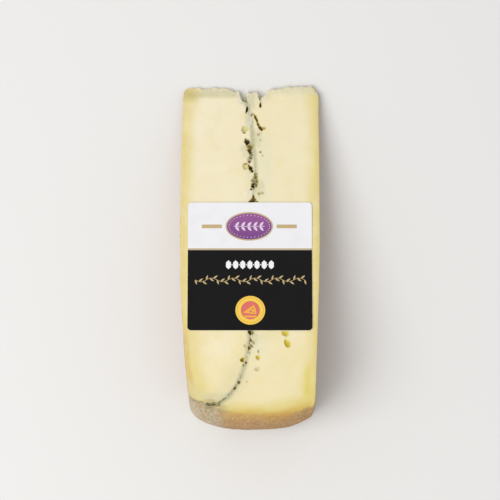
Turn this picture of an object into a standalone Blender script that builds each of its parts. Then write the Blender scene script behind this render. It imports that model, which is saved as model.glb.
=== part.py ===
"""Wedge of semi-hard cheese with a layer of ash, lying on one cut face, with a label on the other.

Metres, +Z up, +Y from the heel to the thin tip, +X across the cheese from one flat side to the other.
The wedge is a sector of a round cheese that lies with its bottom cut face on the ground. Its outline
is drawn in the sector's own terms, across the cheese and out from its axis, and swept round that axis.
"""
import math

import bmesh
import bpy
from mathutils import Matrix, Vector

# The round cheese and the cut, in metres
CHEESE_RADIUS = 0.1732
CUT_ANGLE = math.radians(16.5)
TIP_RADIUS = 0.0084
SWEEP_STEPS = 10

# Half widths at the widest place, and how far each side draws in towards the rim and the tip
LEFT_HALF = 0.0332
LEFT_RIM_TAPER = 0.0041
LEFT_RIM_POWER = 2.1
LEFT_TIP_TAPER = 0.0013
RIGHT_HALF = 0.0335
RIGHT_RIM_TAPER = 0.0025
RIGHT_RIM_POWER = 1.5
RIGHT_TIP_TAPER = 0.0005
TIP_TAPER_POWER = 3.0
WIDEST_RADIUS = 0.080
SIDE_STEPS = 14

# Rim of the cheese: two quarter superellipses that meet at the crown
CROWN_ACROSS = 0.0012
LEFT_SHOULDER = 0.0140
RIGHT_SHOULDER = 0.0140
RIM_ROUNDNESS = 2.5
RIM_STEPS = 36

# The heel leans in towards the upper cut, more on the left, and swells between the cuts
HEEL_DEPTH = 0.030
HEEL_LEAN = 0.0013
HEEL_SKEW = 0.0006
HEEL_SWELL = 0.0006

# Broken tip: a shallow dip, a fine ragged line, one torn corner and one rounded corner
TIP_STEP = 0.0009
DIP_CENTRE = 0.0010
DIP_WIDTH = 0.0095
DIP_DEPTH = 0.0019
SLANT_START = 0.0120
SLANT = 0.075
RAG_WAVES = ((0.00022, 0.0117, 0.4), (0.00020, 0.0071, 1.9), (0.00016, 0.0039, 0.7))
TORN_CORNER = 0.0033
TORN_CORNER_SLOPE = 1.45
ROUND_CORNER = 0.0022

# Notches in the tip: where the ash meets it, and beside the small bridge of curd
ASH_NOTCH = (-0.0057, -0.0036, -0.0018, -0.0013)
ASH_NOTCH_FLOOR = 0.0150
SIDE_NOTCH = (0.0034, 0.0053, 0.0054, 0.0087)
SIDE_NOTCH_FLOOR = 0.0136

# Layer of ash: an almost straight run from the tip, a bend, and a run out through the left side
ASH_THICKNESS = 0.0010
GAP = 0.0003
ASH_START = 0.0040
ASH_DRIFT = 0.0012
ASH_TIP_PULL = 0.0037
ASH_TIP_REACH = 0.0060
ASH_BUMP = 0.0018
ASH_BUMP_CENTRE = 0.0510
ASH_BUMP_WIDTH = 0.0130
BEND_START = 0.1323
BEND_ACROSS = 0.0184
BEND_ALONG = 0.0352
BEND_ROUNDNESS = 1.8
EXIT_RUN = 0.0140
EXIT_REACH = 0.0080
EXIT_RISE = 0.0031
ASH_STEP = 0.0030
BEND_STEPS = 22
EXIT_STEPS = 6

# Eyes in the upper cut face: across, out from the axis, half width, half length, depth, turn in degrees
EYES = (
    (-0.0011, 0.0193, 0.0008, 0.0016, 0.0016, -25.0),
    (0.0051, 0.0167, 0.0007, 0.0011, 0.0013, 0.0),
    (0.0042, 0.0257, 0.0006, 0.0041, 0.0018, 31.0),
    (-0.0027, 0.0296, 0.0018, 0.0018, 0.0010, 0.0),
    (-0.0013, 0.0357, 0.0013, 0.0014, 0.0019, 0.0),
    (0.0003, 0.0402, 0.0012, 0.0019, 0.0016, 12.0),
    (-0.0023, 0.0482, 0.0019, 0.0019, 0.0010, 0.0),
    (0.0009, 0.0500, 0.0009, 0.0014, 0.0019, 35.0),
    (0.0017, 0.0578, 0.0015, 0.0019, 0.0018, 0.0),
    (0.0001, 0.1313, 0.0009, 0.0014, 0.0016, 10.0),
    (-0.0002, 0.1380, 0.0008, 0.0013, 0.0014, 0.0),
    (0.0168, 0.1315, 0.0014, 0.0014, 0.0009, 0.0),
    (0.0176, 0.1363, 0.0013, 0.0018, 0.0017, 25.0),
    (-0.0036, 0.1443, 0.0010, 0.0010, 0.0014, 0.0),
    (0.0037, 0.1429, 0.0009, 0.0014, 0.0010, 0.0),
)
EYE_SEGMENTS = 10
EYE_RINGS = 8

# Label on the upper cut face
LABEL_WIDTH = 0.0592
LABEL_LENGTH = 0.0634
LABEL_THICKNESS = 0.0004
LABEL_CORNER = 0.0016
LABEL_RADIUS = 0.0980
LABEL_CORNER_STEPS = 6

# The cutters run past the slice by these amounts
CUTTER_ANGLE = math.radians(1.0)
CUTTER_SIDE = 0.0600
CUTTER_RIM = 0.2000

CURD_COLOUR = (0.86, 0.79, 0.50, 1.0)
ASH_COLOUR = (0.12, 0.13, 0.12, 1.0)
LABEL_COLOUR = (0.84, 0.83, 0.84, 1.0)
SMOOTH_ANGLE = math.radians(30.0)


def clear_objects():
    for old in list(bpy.data.objects):
        bpy.data.objects.remove(old, do_unlink=True)


def make_material(name, colour, roughness):
    material = bpy.data.materials.new(name)
    material.use_nodes = True
    shader = material.node_tree.nodes["Principled BSDF"]
    shader.inputs["Base Color"].default_value = colour
    shader.inputs["Roughness"].default_value = roughness
    shader.inputs["Metallic"].default_value = 0.0
    return material


def make_object(name, bm, material=None):
    mesh = bpy.data.meshes.new(name)
    bm.to_mesh(mesh)
    bm.free()
    made = bpy.data.objects.new(name, mesh)
    bpy.context.scene.collection.objects.link(made)
    if material:
        mesh.materials.append(material)
        mesh.shade_smooth()
        mesh.set_sharp_from_angle(angle=SMOOTH_ANGLE)
    return made


# The outline, in the sector's own terms

def half_width(radius, half, rim_taper, rim_power, tip_taper):
    """Half of the slice's width at a distance from the axis, on one side."""
    if radius > WIDEST_RADIUS:
        share = (radius - WIDEST_RADIUS) / (CHEESE_RADIUS - LEFT_SHOULDER - WIDEST_RADIUS)
        return half - rim_taper * share ** rim_power
    share = (WIDEST_RADIUS - radius) / (WIDEST_RADIUS - TIP_RADIUS)
    return half - tip_taper * share ** TIP_TAPER_POWER


def left_side(radius):
    return -half_width(radius, LEFT_HALF, LEFT_RIM_TAPER, LEFT_RIM_POWER, LEFT_TIP_TAPER)


def right_side(radius):
    return half_width(radius, RIGHT_HALF, RIGHT_RIM_TAPER, RIGHT_RIM_POWER, RIGHT_TIP_TAPER)


def notch(across, corners, floor, edge):
    """The tip's radius inside a notch with sloping flanks, or the plain edge outside it."""
    left_lip, left_foot, right_foot, right_lip = corners
    if not left_lip < across < right_lip:
        return edge
    if across < left_foot:
        share = (across - left_lip) / (left_foot - left_lip)
    elif across > right_foot:
        share = (right_lip - across) / (right_lip - right_foot)
    else:
        share = 1.0
    return edge + (floor - edge) * share


def tip_radius(across):
    """How far from the axis the broken tip ends at a place across the slice."""
    edge = TIP_RADIUS + DIP_DEPTH * math.exp(-((across - DIP_CENTRE) / DIP_WIDTH) ** 4)
    edge -= SLANT * max(across - SLANT_START, 0.0)
    for height, length, phase in RAG_WAVES:
        edge += height * math.sin(2 * math.pi * across / length + phase)
    edge = notch(across, ASH_NOTCH, ASH_NOTCH_FLOOR, edge)
    edge = notch(across, SIDE_NOTCH, SIDE_NOTCH_FLOOR, edge)
    torn = across - (right_side(TIP_RADIUS) - TORN_CORNER)
    if torn > 0:
        edge += torn * TORN_CORNER_SLOPE
    rounded = left_side(TIP_RADIUS) + ROUND_CORNER - across
    if rounded > 0:
        edge += ROUND_CORNER - math.sqrt(max(ROUND_CORNER ** 2 - rounded ** 2, 0.0))
    return edge


def tip_edge():
    """The tip from the left side to the right side, with each notch's corners kept sharp."""
    left = left_side(TIP_RADIUS)
    right = right_side(TIP_RADIUS)
    steps = round((right - left) / TIP_STEP)
    places = [left + (right - left) * step / steps for step in range(steps + 1)]
    corners = ASH_NOTCH + SIDE_NOTCH
    places = [place for place in places if min(abs(place - corner) for corner in corners) > TIP_STEP / 3]
    return [(place, tip_radius(place)) for place in sorted(places + list(corners))]


def side(run, start, end):
    """One side of the slice between two distances from the axis, without its end points."""
    radii = [start + (end - start) * step / SIDE_STEPS for step in range(1, SIDE_STEPS)]
    return [(run(radius), radius) for radius in radii]


def rim():
    """The rim from the right side to the left side."""
    points = []
    for step in range(RIM_STEPS + 1):
        turn = math.pi * step / RIM_STEPS
        on_right = turn < math.pi / 2
        shoulder = RIGHT_SHOULDER if on_right else LEFT_SHOULDER
        end = right_side(CHEESE_RADIUS - shoulder) if on_right else left_side(CHEESE_RADIUS - shoulder)
        spread = abs(math.cos(turn)) ** (2 / RIM_ROUNDNESS)
        rise = abs(math.sin(turn)) ** (2 / RIM_ROUNDNESS)
        points.append((CROWN_ACROSS + (end - CROWN_ACROSS) * spread, CHEESE_RADIUS - shoulder * (1 - rise)))
    return points


def slice_outline():
    tip = tip_edge()
    crest = rim()
    right = side(right_side, tip[-1][1], crest[0][1])
    left = side(left_side, crest[-1][1], tip[0][1])
    return tip + right + crest + left


# The layer of ash

def ash_across(radius):
    """Where the almost straight run of ash lies across the slice."""
    drift = ASH_DRIFT * (1 - radius / BEND_START)
    pull = ASH_TIP_PULL * math.exp(-max(radius - ASH_NOTCH_FLOOR, 0.0) / ASH_TIP_REACH)
    bump = ASH_BUMP * math.exp(-((radius - ASH_BUMP_CENTRE) / ASH_BUMP_WIDTH) ** 2)
    return drift - pull + bump


def ash_path():
    """The middle of the ash, from in front of the tip to beyond the left side."""
    steps = round((BEND_START - ASH_START) / ASH_STEP)
    radii = [ASH_START + (BEND_START - ASH_START) * step / steps for step in range(steps)]
    path = [(ash_across(radius), radius) for radius in radii]
    for step in range(BEND_STEPS + 1):
        turn = math.pi / 2 * step / BEND_STEPS
        across = BEND_ACROSS * (math.cos(turn) ** (2 / BEND_ROUNDNESS) - 1)
        path.append((across, BEND_START + BEND_ALONG * math.sin(turn) ** (2 / BEND_ROUNDNESS)))
    for step in range(1, EXIT_STEPS + 1):
        run = EXIT_RUN * step / EXIT_STEPS
        fall = EXIT_RISE * (run / EXIT_REACH) ** 1.5
        path.append((-BEND_ACROSS - run, BEND_START + BEND_ALONG - fall))
    return path


def beside(path, distance):
    """The path moved sideways: a positive distance moves it towards the left half."""
    moved = []
    for index, (across, radius) in enumerate(path):
        before = path[max(index - 1, 0)]
        after = path[min(index + 1, len(path) - 1)]
        along = Vector((after[0] - before[0], after[1] - before[1])).normalized()
        moved.append((across - along.y * distance, radius + along.x * distance))
    return moved


# Solids swept round the axis of the cheese

def place(across, radius, angle):
    """A point of the slice, from its terms to metres in space."""
    near_rim = min(max((radius - CHEESE_RADIUS) / HEEL_DEPTH + 1, 0.0), 1.0)
    near_rim = near_rim * near_rim * (3 - 2 * near_rim)
    lean = (HEEL_LEAN - HEEL_SKEW * across / RIGHT_HALF) * angle / CUT_ANGLE
    swell = HEEL_SWELL * math.sin(math.pi * angle / CUT_ANGLE)
    radius += near_rim * (swell - lean)
    return Vector((across, -radius * math.cos(angle), radius * math.sin(angle)))


def swept(outline, start, end):
    """A closed solid: the outline carried round the axis from one angle to another."""
    bm = bmesh.new()
    rings = []
    for step in range(SWEEP_STEPS + 1):
        angle = start + (end - start) * step / SWEEP_STEPS
        rings.append([bm.verts.new(place(across, radius, angle)) for across, radius in outline])
    count = len(outline)
    for low, high in zip(rings, rings[1:]):
        for index in range(count):
            after = (index + 1) % count
            bm.faces.new((low[index], low[after], high[after], high[index]))
    bm.faces.new(rings[0])
    bm.faces.new(rings[-1])
    bmesh.ops.recalc_face_normals(bm, faces=bm.faces)
    return bm


def cutter(name, bm, root):
    made = make_object(name, bm)
    made.hide_render = True
    made.display_type = "WIRE"
    made.parent = root
    return made


def region_cutter(name, outline, root):
    return cutter(name, swept(outline, -CUTTER_ANGLE, CUT_ANGLE + CUTTER_ANGLE), root)


def eye_cutter(root):
    """Flattened balls set into the upper cut face, one for each eye."""
    bm = bmesh.new()
    on_cut = Matrix.Rotation(-CUT_ANGLE, 4, "X")
    for across, radius, half, length, depth, turn in EYES:
        spin = Matrix.Rotation(math.radians(turn), 4, "Z")
        shape = Matrix.Diagonal((half, length, depth, 1.0))
        seat = Matrix.Translation(place(across, radius, CUT_ANGLE))
        bmesh.ops.create_uvsphere(
            bm, u_segments=EYE_SEGMENTS, v_segments=EYE_RINGS, radius=1.0, matrix=seat @ on_cut @ spin @ shape)
    return cutter("eye_cutter", bm, root)


def apply_cut(target, tool, operation):
    cut = target.modifiers.new(tool.name, "BOOLEAN")
    cut.operation = operation
    cut.solver = "EXACT"
    cut.object = tool


def sector(name, region, eyes, material, root):
    """One piece of the slice: the whole slice kept inside a region, with its eyes cut in."""
    made = make_object(name, swept(slice_outline(), 0.0, CUT_ANGLE), material)
    made.parent = root
    apply_cut(made, region, "INTERSECT")
    apply_cut(made, eyes, "DIFFERENCE")
    return made


def label(root, material):
    """A thin plate with round corners that lies just clear of the upper cut face."""
    bm = bmesh.new()
    corners = []
    for side_x, side_y, first in ((1, 1, 0), (-1, 1, 1), (-1, -1, 2), (1, -1, 3)):
        middle_x = side_x * (LABEL_WIDTH / 2 - LABEL_CORNER)
        middle_y = side_y * (LABEL_LENGTH / 2 - LABEL_CORNER)
        for step in range(LABEL_CORNER_STEPS + 1):
            turn = math.pi / 2 * (first + step / LABEL_CORNER_STEPS)
            corners.append((middle_x + LABEL_CORNER * math.cos(turn), middle_y + LABEL_CORNER * math.sin(turn)))
    bottom = bm.faces.new([bm.verts.new((x, y, 0.0)) for x, y in corners])
    raised = bmesh.ops.extrude_face_region(bm, geom=[bottom])["geom"]
    lifted = [item for item in raised if isinstance(item, bmesh.types.BMVert)]
    bmesh.ops.translate(bm, verts=lifted, vec=(0.0, 0.0, LABEL_THICKNESS))
    bmesh.ops.recalc_face_normals(bm, faces=bm.faces)
    made = make_object("label", bm, material)
    lift = Vector((0.0, math.sin(CUT_ANGLE), math.cos(CUT_ANGLE))) * GAP
    made.location = place(0.0, LABEL_RADIUS, CUT_ANGLE) + lift
    made.rotation_euler = (-CUT_ANGLE, 0.0, 0.0)
    made.parent = root
    return made


def centre_on_box(root, piece):
    """Put the origin at the bottom centre of the slice's box."""
    for axis in (0, 1):
        places = [vertex.co[axis] for vertex in piece.data.vertices]
        root.location[axis] = -(min(places) + max(places)) / 2


def main():
    clear_objects()
    root = bpy.data.objects.new("slice_frame", None)
    bpy.context.scene.collection.objects.link(root)

    path = ash_path()
    half = ASH_THICKNESS / 2
    end = path[-1][1]
    ribbon = beside(path, half) + beside(path, -half)[::-1]
    left = beside(path, half + GAP) + [(-CUTTER_SIDE, end), (-CUTTER_SIDE, ASH_START)]
    right = beside(path, -half - GAP) + [
        (-CUTTER_SIDE, end), (-CUTTER_SIDE, CUTTER_RIM), (CUTTER_SIDE, CUTTER_RIM), (CUTTER_SIDE, ASH_START)]

    eyes = eye_cutter(root)
    curd = make_material("curd", CURD_COLOUR, 0.5)
    curd_left = sector("curd_left", region_cutter("left_cutter", left, root), eyes, curd, root)
    sector("curd_right", region_cutter("right_cutter", right, root), eyes, curd.copy(), root)
    ash = make_material("ash", ASH_COLOUR, 0.8)
    sector("ash_layer", region_cutter("ribbon_cutter", ribbon, root), eyes, ash, root)
    label(root, make_material("label", LABEL_COLOUR, 0.35))
    centre_on_box(root, curd_left)


main()
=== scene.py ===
"""Looks of a wedge of semi-hard cheese with a layer of ash, and of the card label on its upper cut.

Places on the slice are in millimetres and in the sector's own terms: across the slice, out from the
axis of the round cheese, and the share of the cut angle, from 0 on the lower cut to 1 on the upper.
Places on the label are in metres from its middle, across, up towards the tip, and off the cut.
"""
import math
from collections import namedtuple

import bmesh
import bpy
import numpy as np
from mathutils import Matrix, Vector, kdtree
from mathutils.geometry import delaunay_2d_cdt


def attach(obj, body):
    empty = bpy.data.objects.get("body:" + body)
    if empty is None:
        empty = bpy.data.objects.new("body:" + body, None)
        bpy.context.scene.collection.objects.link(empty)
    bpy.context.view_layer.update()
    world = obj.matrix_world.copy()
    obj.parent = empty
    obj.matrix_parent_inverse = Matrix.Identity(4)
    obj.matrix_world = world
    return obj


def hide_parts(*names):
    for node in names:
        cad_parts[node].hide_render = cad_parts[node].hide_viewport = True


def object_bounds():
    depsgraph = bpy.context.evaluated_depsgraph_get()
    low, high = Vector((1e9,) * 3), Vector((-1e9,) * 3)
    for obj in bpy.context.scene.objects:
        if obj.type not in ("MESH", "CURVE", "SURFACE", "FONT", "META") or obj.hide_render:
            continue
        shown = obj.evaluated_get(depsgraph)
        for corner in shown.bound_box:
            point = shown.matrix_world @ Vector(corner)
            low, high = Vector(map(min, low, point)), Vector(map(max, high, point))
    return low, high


bl_info = {
    "name": "Ash cheese wedge",
    "version": (1, 0, 0),
    "blender": (4, 5, 0),
    "location": "View3D > Sidebar > Cheese",
    "description": "Makes the paste, the ash, the label and the studio of a wedge of cheese",
    "category": "Add Mesh",
}

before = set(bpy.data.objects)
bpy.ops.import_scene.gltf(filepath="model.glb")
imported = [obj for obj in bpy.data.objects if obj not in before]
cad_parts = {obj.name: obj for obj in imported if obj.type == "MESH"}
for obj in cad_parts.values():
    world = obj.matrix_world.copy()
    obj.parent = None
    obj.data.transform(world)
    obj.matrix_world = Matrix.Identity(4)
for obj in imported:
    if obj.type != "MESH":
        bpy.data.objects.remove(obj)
CAD_LOW, CAD_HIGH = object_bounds()

# The round cheese: its rim leans in towards the upper cut and swells between the cuts
MM = 0.001
CHEESE_RADIUS = 173.2
RIGHT_HALF = 33.5
CUT_ANGLE = math.radians(16.5)
HEEL_DEPTH = 30.0
HEEL_LEAN = 1.3
HEEL_SKEW = 0.6
HEEL_SWELL = 0.6
AXIS_X = CAD_HIGH.x - RIGHT_HALF * MM
AXIS_Y = CAD_LOW.y + CHEESE_RADIUS * MM

# The fuller right corner of the heel: how far it reaches, and where that starts and is whole
CORNER_REACH = 2.6
CORNER_ACROSS = (27.5, 31.0)
CORNER_FILL = 1.0
FILL_ACROSS = (25.5, 30.5)
FILL_OUT = (157.0, 164.0)

# The outline: where the broken tip ends and the rind starts, and how far apart its points are
TIP_ZONE = 17.0
TIP_SIDE = 31.5
HEEL_ZONE = 150.0
TIP_STEP = 0.35
SIDE_STEP = 0.9
HEEL_STEP = 0.75
ASH_STEP = 0.38
SPLINE_STEPS = 10
NEAREST_POINTS = 0.1
WELD = 1e-6
TINY = 1e-12
POINTS_AT_ONCE = 1500

# The cut faces: spacing near the ash and away from it, in three sizes of grid
FINE_GRID = 0.36
MIDDLE_GRID = 0.62
COARSE_GRID = 1.2
GRID_GROWTH = 0.16
HEXAGON = 0.866
EDGE_ROWS = (0.22, 0.52)
WALL_LEVELS = 48
EVEN_LEVELS = 0.6
EYE_RINGS = (1.3, 1.14, 1.0, 0.93, 0.8, 0.58, 0.3, 0.02)
EYE_STEP = 0.33
EYE_POINTS = (7, 30)
# How far the grid and the rings keep from an eye, as shares of its rim, and from the face's edge
EYE_CLEAR = 1.4
RING_CLEAR_OF_EYE = 1.36
GRID_CLEAR = 0.75
ASH_SIDE = 2.0
ASH_CLEAR = 0.2
RING_CLEAR = 0.12

# How far the cut edges are rounded, and how deep a dent in a cut reaches down the wall beside it
TIP_ROUND = 0.4
ASH_ROUND = 0.06
ROUND_SHARE = 0.35
DENT_REACH = 6.0
DENT_SHARE = 0.45
EYE_FALL = 2.5

# Unevenness of the cuts, the rind and the torn tip, as waves of a height and a size
GENTLE_WAVES = ((0.13, 14.0), (0.05, 4.0))
TORN_WAVES = ((0.16, 3.1), (0.07, 1.3))
LOWER_WAVES_SHIFT = 9.0
RIND_RELIEF = ((0.24, 6.5), (0.13, 2.3), (0.05, 1.2))
TIP_RELIEF = ((0.42, 3.4), (0.20, 1.3))
RIND_EDGE_WAVES = ((0.25, 1.1), (0.25, 3.0))
# The lobes of an eye's rim: how many and how high
EYE_LOBES = ((2, 0.08), (3, 0.08), (5, 0.05))

# Ash: half of its width at shares of its run from the tip to the left side
ASH_RUN = (0.0, 0.08, 0.3, 0.7, 0.78, 0.86, 0.92, 0.96, 1.0)
ASH_HALVES = (0.34, 0.32, 0.30, 0.28, 0.28, 0.32, 0.42, 0.42, 0.26)
# How dark the ash is, at shares of its run
ASH_DARKNESS = (
    (0.0, 0.05), (0.05, 0.0), (0.10, 0.12), (0.12, 0.16), (0.16, 0.14), (0.21, 0.12), (0.235, 0.50),
    (0.26, 0.60), (0.28, 0.02), (0.295, 0.50), (0.67, 0.60), (0.685, 0.10), (0.70, 0.36), (0.73, 0.26),
    (0.742, 0.0), (0.765, 0.34), (0.785, 0.14), (0.81, 0.26), (0.84, 0.42), (0.857, 0.28), (0.90, 0.40),
    (0.918, 0.62), (0.935, 0.50), (0.95, 0.12), (1.0, 0.0))
ASH_OVERLAP = 0.03
ASH_COLUMNS = 5
ASH_SUNK = 0.01
ASH_GRIT = 0.04
ASH_START = 0.4
ASH_SHORT = 0.9
ASH_LOW_LIFT = 0.15
ASH_DROP = 0.6
DROP_ACROSS = (-23.0, -16.0)
DROP_OUT = (150.0, 160.0)
END_DROP = 0.25

# Thickness of the rind on the cuts along the heel, from the left side to the right
CRUST_PLACES = (-30.0, -26.0, -21.0, -16.7, -12.9, -7.4, 2.0, 11.0, 18.0, 25.0, 31.0)
CRUST_SIZES = (0.4, 1.0, 1.9, 3.0, 2.15, 1.6, 1.3, 1.1, 0.8, 0.35, 0.25)
SIDE_CRUST = 0.05

# Eyes in the upper cut: across, out, half width, half length, depth, turn in degrees, soot, greyness
Eye = namedtuple("Eye", "across out half length depth turn soot grey")
UPPER_EYES = tuple(Eye(*row) for row in (
    (4.7, 13.6, 0.38, 1.3, 0.8, 25, 0.38, 1.0),
    (-1.45, 19.3, 0.55, 1.6, 1.5, -12, 0.95, 0.2),
    (5.1, 17.0, 0.55, 1.3, 1.3, 0, 0.80, 0.4),
    (0.9, 21.9, 0.42, 0.85, 0.5, -35, 0.58, 1.0),
    (2.9, 23.8, 0.6, 2.2, 1.2, 20, 0.70, 0.1),
    (4.05, 26.9, 0.55, 1.2, 1.2, 25, 0.64, 0.3),
    (5.2, 28.9, 0.75, 1.3, 1.4, 38, 0.78, 0.0),
    (6.75, 28.8, 0.85, 0.7, 0.5, 0, 0.44, 0.4),
    (-2.6, 29.4, 1.5, 1.5, 1.0, 0, 0.16, 0.3),
    (-2.7, 31.1, 0.75, 0.36, 0.5, 0, 0.62, 0.5),
    (4.2, 31.9, 0.85, 0.7, 0.3, 0, 0.25, 1.0),
    (5.2, 34.7, 0.38, 0.42, 0.3, 0, 0.30, 0.6),
    (-1.4, 35.8, 1.2, 1.5, 1.7, 0, 1.0, 0.0),
    (0.1, 38.1, 1.25, 1.0, 1.1, 0, 0.62, 0.4),
    (-0.1, 40.0, 1.05, 1.0, 1.3, 0, 0.80, 0.3),
    (0.3, 41.3, 0.7, 0.6, 0.9, 0, 0.88, 0.8),
    (0.8, 42.4, 0.62, 0.65, 0.5, 0, 0.62, 1.0),
    (0.45, 43.7, 0.8, 0.8, 0.5, 0, 0.72, 1.0),
    (-0.2, 45.8, 0.62, 0.65, 0.6, 0, 0.80, 0.7),
    (5.1, 40.9, 0.55, 0.62, 0.5, -20, 0.44, 0.8),
    (6.1, 42.7, 0.5, 0.5, 0.25, 0, 0.16, 0.8),
    (-2.2, 48.3, 1.3, 1.3, 0.9, 0, 0.08, 0.2),
    (-2.2, 46.9, 1.05, 0.48, 0.4, 0, 0.58, 0.3),
    (-0.6, 47.7, 0.5, 0.5, 0.8, 0, 0.62, 0.5),
    (0.3, 49.0, 0.92, 0.98, 1.6, 25, 1.0, 0.1),
    (1.0, 50.4, 0.52, 1.0, 1.2, 28, 0.98, 0.9),
    (2.8, 52.2, 0.8, 0.75, 0.6, 0, 0.54, 0.9),
    (2.9, 53.7, 0.85, 0.7, 0.8, 0, 0.66, 0.6),
    (3.4, 55.6, 0.6, 1.2, 0.7, 0, 0.52, 0.5),
    (1.7, 55.3, 0.9, 1.1, 0.5, 0, 0.52, 1.0),
    (3.1, 57.7, 0.6, 1.0, 0.6, 0, 0.62, 0.5),
    (1.7, 57.0, 1.0, 0.6, 1.2, 20, 0.84, 0.7),
    (1.45, 58.3, 0.8, 0.8, 1.4, 0, 1.0, 0.3),
    (0.7, 59.7, 0.6, 0.55, 0.8, 0, 0.70, 1.0),
    (1.75, 63.6, 0.5, 1.1, 0.9, 0, 0.76, 0.5),
    (1.7, 65.2, 1.1, 0.95, 1.2, 0, 0.80, 0.4),
    (3.2, 65.9, 0.8, 0.5, 0.6, 0, 0.46, 0.6),
    (0.4, 65.9, 0.95, 0.75, 0.9, 0, 0.88, 0.3),
    (4.55, 61.9, 0.8, 0.7, 0.4, 20, 0.34, 0.8),
    (6.1, 61.5, 0.6, 0.7, 0.4, -20, 0.30, 0.8),
    (0.05, 130.8, 0.85, 1.2, 1.3, 10, 0.84, 0.2),
    (1.05, 130.7, 0.8, 1.3, 0.6, 10, 0.52, 0.9),
    (0.4, 134.6, 0.5, 0.9, 0.8, 15, 0.60, 0.9),
    (1.6, 135.6, 0.7, 1.0, 0.5, 20, 0.36, 0.9),
    (-2.2, 137.2, 0.8, 0.9, 0.4, 0, 0.20, 0.5),
    (0.7, 137.4, 0.75, 0.9, 0.5, 20, 0.52, 1.0),
    (-0.3, 138.5, 0.68, 0.8, 1.0, 30, 0.74, 0.5),
    (-0.1, 140.7, 0.35, 0.4, 0.4, 0, 0.34, 1.0),
    (-3.6, 144.3, 0.98, 1.0, 1.2, 0, 0.56, 0.1),
    (-1.84, 145.6, 0.6, 0.65, 0.8, 0, 0.62, 0.7),
    (-3.1, 146.9, 0.4, 0.6, 0.6, 0, 0.56, 0.9),
    (4.0, 140.1, 0.32, 0.9, 0.4, 0, 0.46, 0.7),
    (3.7, 143.1, 0.85, 1.1, 0.8, 0, 0.33, 0.1),
    (3.4, 148.9, 1.1, 1.0, 0.4, 0, 0.12, 0.5),
    (-5.2, 155.6, 0.66, 0.8, 0.9, 0, 0.76, 0.7),
    (-7.05, 158.7, 0.62, 0.9, 0.8, -30, 0.76, 0.6),
    (-1.4, 155.3, 0.35, 0.35, 0.3, 0, 0.28, 1.0),
    (-16.9, 167.3, 0.9, 0.55, 0.5, 0, 0.84, 0.6),
    (-19.8, 166.9, 0.8, 0.5, 0.5, 0, 0.74, 0.7),
    (-21.8, 167.0, 0.4, 0.35, 0.2, 0, 0.60, 0.9),
    (-23.7, 166.3, 0.45, 0.4, 0.2, 0, 0.64, 0.8),
    (-26.4, 165.6, 0.5, 0.45, 0.2, 0, 0.50, 0.9),
    (16.8, 131.4, 1.5, 1.3, 0.5, 0, 0.33, 0.0),
    (17.6, 136.3, 1.3, 1.8, 1.0, 25, 0.38, 0.0),
))
# Pale mould beside the ash: across, out, half width, half length
BLOOMS = (
    (0.2, 24.6, 0.8, 4.4),
    (-0.5, 52.8, 0.8, 2.0),
    (-0.5, 61.6, 1.1, 3.2),
    (1.0, 56.3, 0.4, 0.4),
    (2.3, 57.9, 0.3, 0.3),
    (-0.95, 142.0, 0.6, 0.8),
    (-25.0, 166.5, 0.8, 0.4),
)
# Brown stains round groups of eyes
STAINS = (
    (-0.6, 38.0, 1.5, 2.6),
    (0.3, 41.9, 1.0, 2.0),
    (-0.2, 44.8, 1.3, 1.8),
    (0.3, 50.0, 0.9, 1.8),
    (2.2, 56.0, 1.6, 2.8),
    (1.4, 65.4, 1.8, 1.6),
)
# Paste dulled by the ash beside it
HAZES = (
    (0.4, 15.0, 3.0, 5.0),
    (-1.2, 24.0, 1.3, 6.0),
    (-0.6, 43.5, 1.5, 6.0),
    (-2.9, 40.0, 1.6, 3.8),
    (4.0, 33.5, 2.2, 4.5),
    (4.5, 59.0, 2.6, 5.0),
    (2.2, 133.5, 1.8, 4.0),
    (-17.0, 163.4, 6.0, 2.2),
    (-12.0, 163.4, 4.0, 1.8),
)
# Smudges of ash on both sides of its bend
SMUDGES = (
    (-13.4, 168.3, 2.6, 1.1),
    (-12.8, 169.5, 3.2, 2.2),
    (-18.8, 168.6, 3.6, 1.0),
    (-19.5, 165.4, 3.6, 1.0),
)
# Milkier paste near the tip and on both sides of the lower ash
MILKY = (
    (-13.0, 17.5, 15.0, 7.0),
    (-20.0, 26.0, 8.0, 8.0),
    (-12.0, 138.5, 7.0, 9.0),
    (6.5, 138.0, 5.0, 4.0),
)
# Ash smeared off the layer near the rind
SOOTY = (
    (-17.4, 167.3, 4.0, 1.1),
    (-23.4, 166.2, 2.6, 0.6),
)
LOWER_EYE_COUNT = 34
LOWER_EYE_SEED = 11
LOWER_EYE_RUN = (20.0, 158.0)

# Loose grains: the stretches where the ash sheds them, how many there are and how high they lie
GRAIN_RUNS = ((54.0, 66.0), (131.0, 140.0), (156.0, math.inf))
GRAIN_LEFT = -28.0
GRAIN_SEED = 21
GRAIN_FLATNESS = 0.55
SPECK_COUNT = 80
SPECK_LIFT = 0.02
CRUMB_COUNT = 26
CRUMB_LIFT = 0.05

# Ledge along the torn left of the tip
LEDGE_END = 13.3
LEDGE_SIDE = -4.9
LEDGE_DEPTH = 1.1

# Label: where its middle is, how it lies, and its two fields with the rule between them
LABEL_RADIUS = 98.3
LABEL_WIDTH = 0.0592
LABEL_LENGTH = 0.0634
LABEL_CORNER = 0.0017
LABEL_LOW = 0.00012
LABEL_HIGH = 0.00044
LABEL_STEP = 0.0021
RULE_TOP = 0.0089
RULE_BOTTOM = 0.0080
CORNER_CURL = 0.00035
CURL_REACH = 0.009
INK = 0.00003
ARC_STEPS = 64

# Studio
CAMERA_HEIGHT = 1.5
CAMERA_X = -0.0001
CAMERA_Y = 0.0035
VIEW_WIDTH = 0.2427
SENSOR = 36.0
FLOOR_DROP = 0.0003
FLOOR_HALF = 4.0
LAMP_SIZE = 1.1
LAMP_PLACE = (-0.75, -0.35, 1.35)


# Numbers, fields and noise

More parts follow.
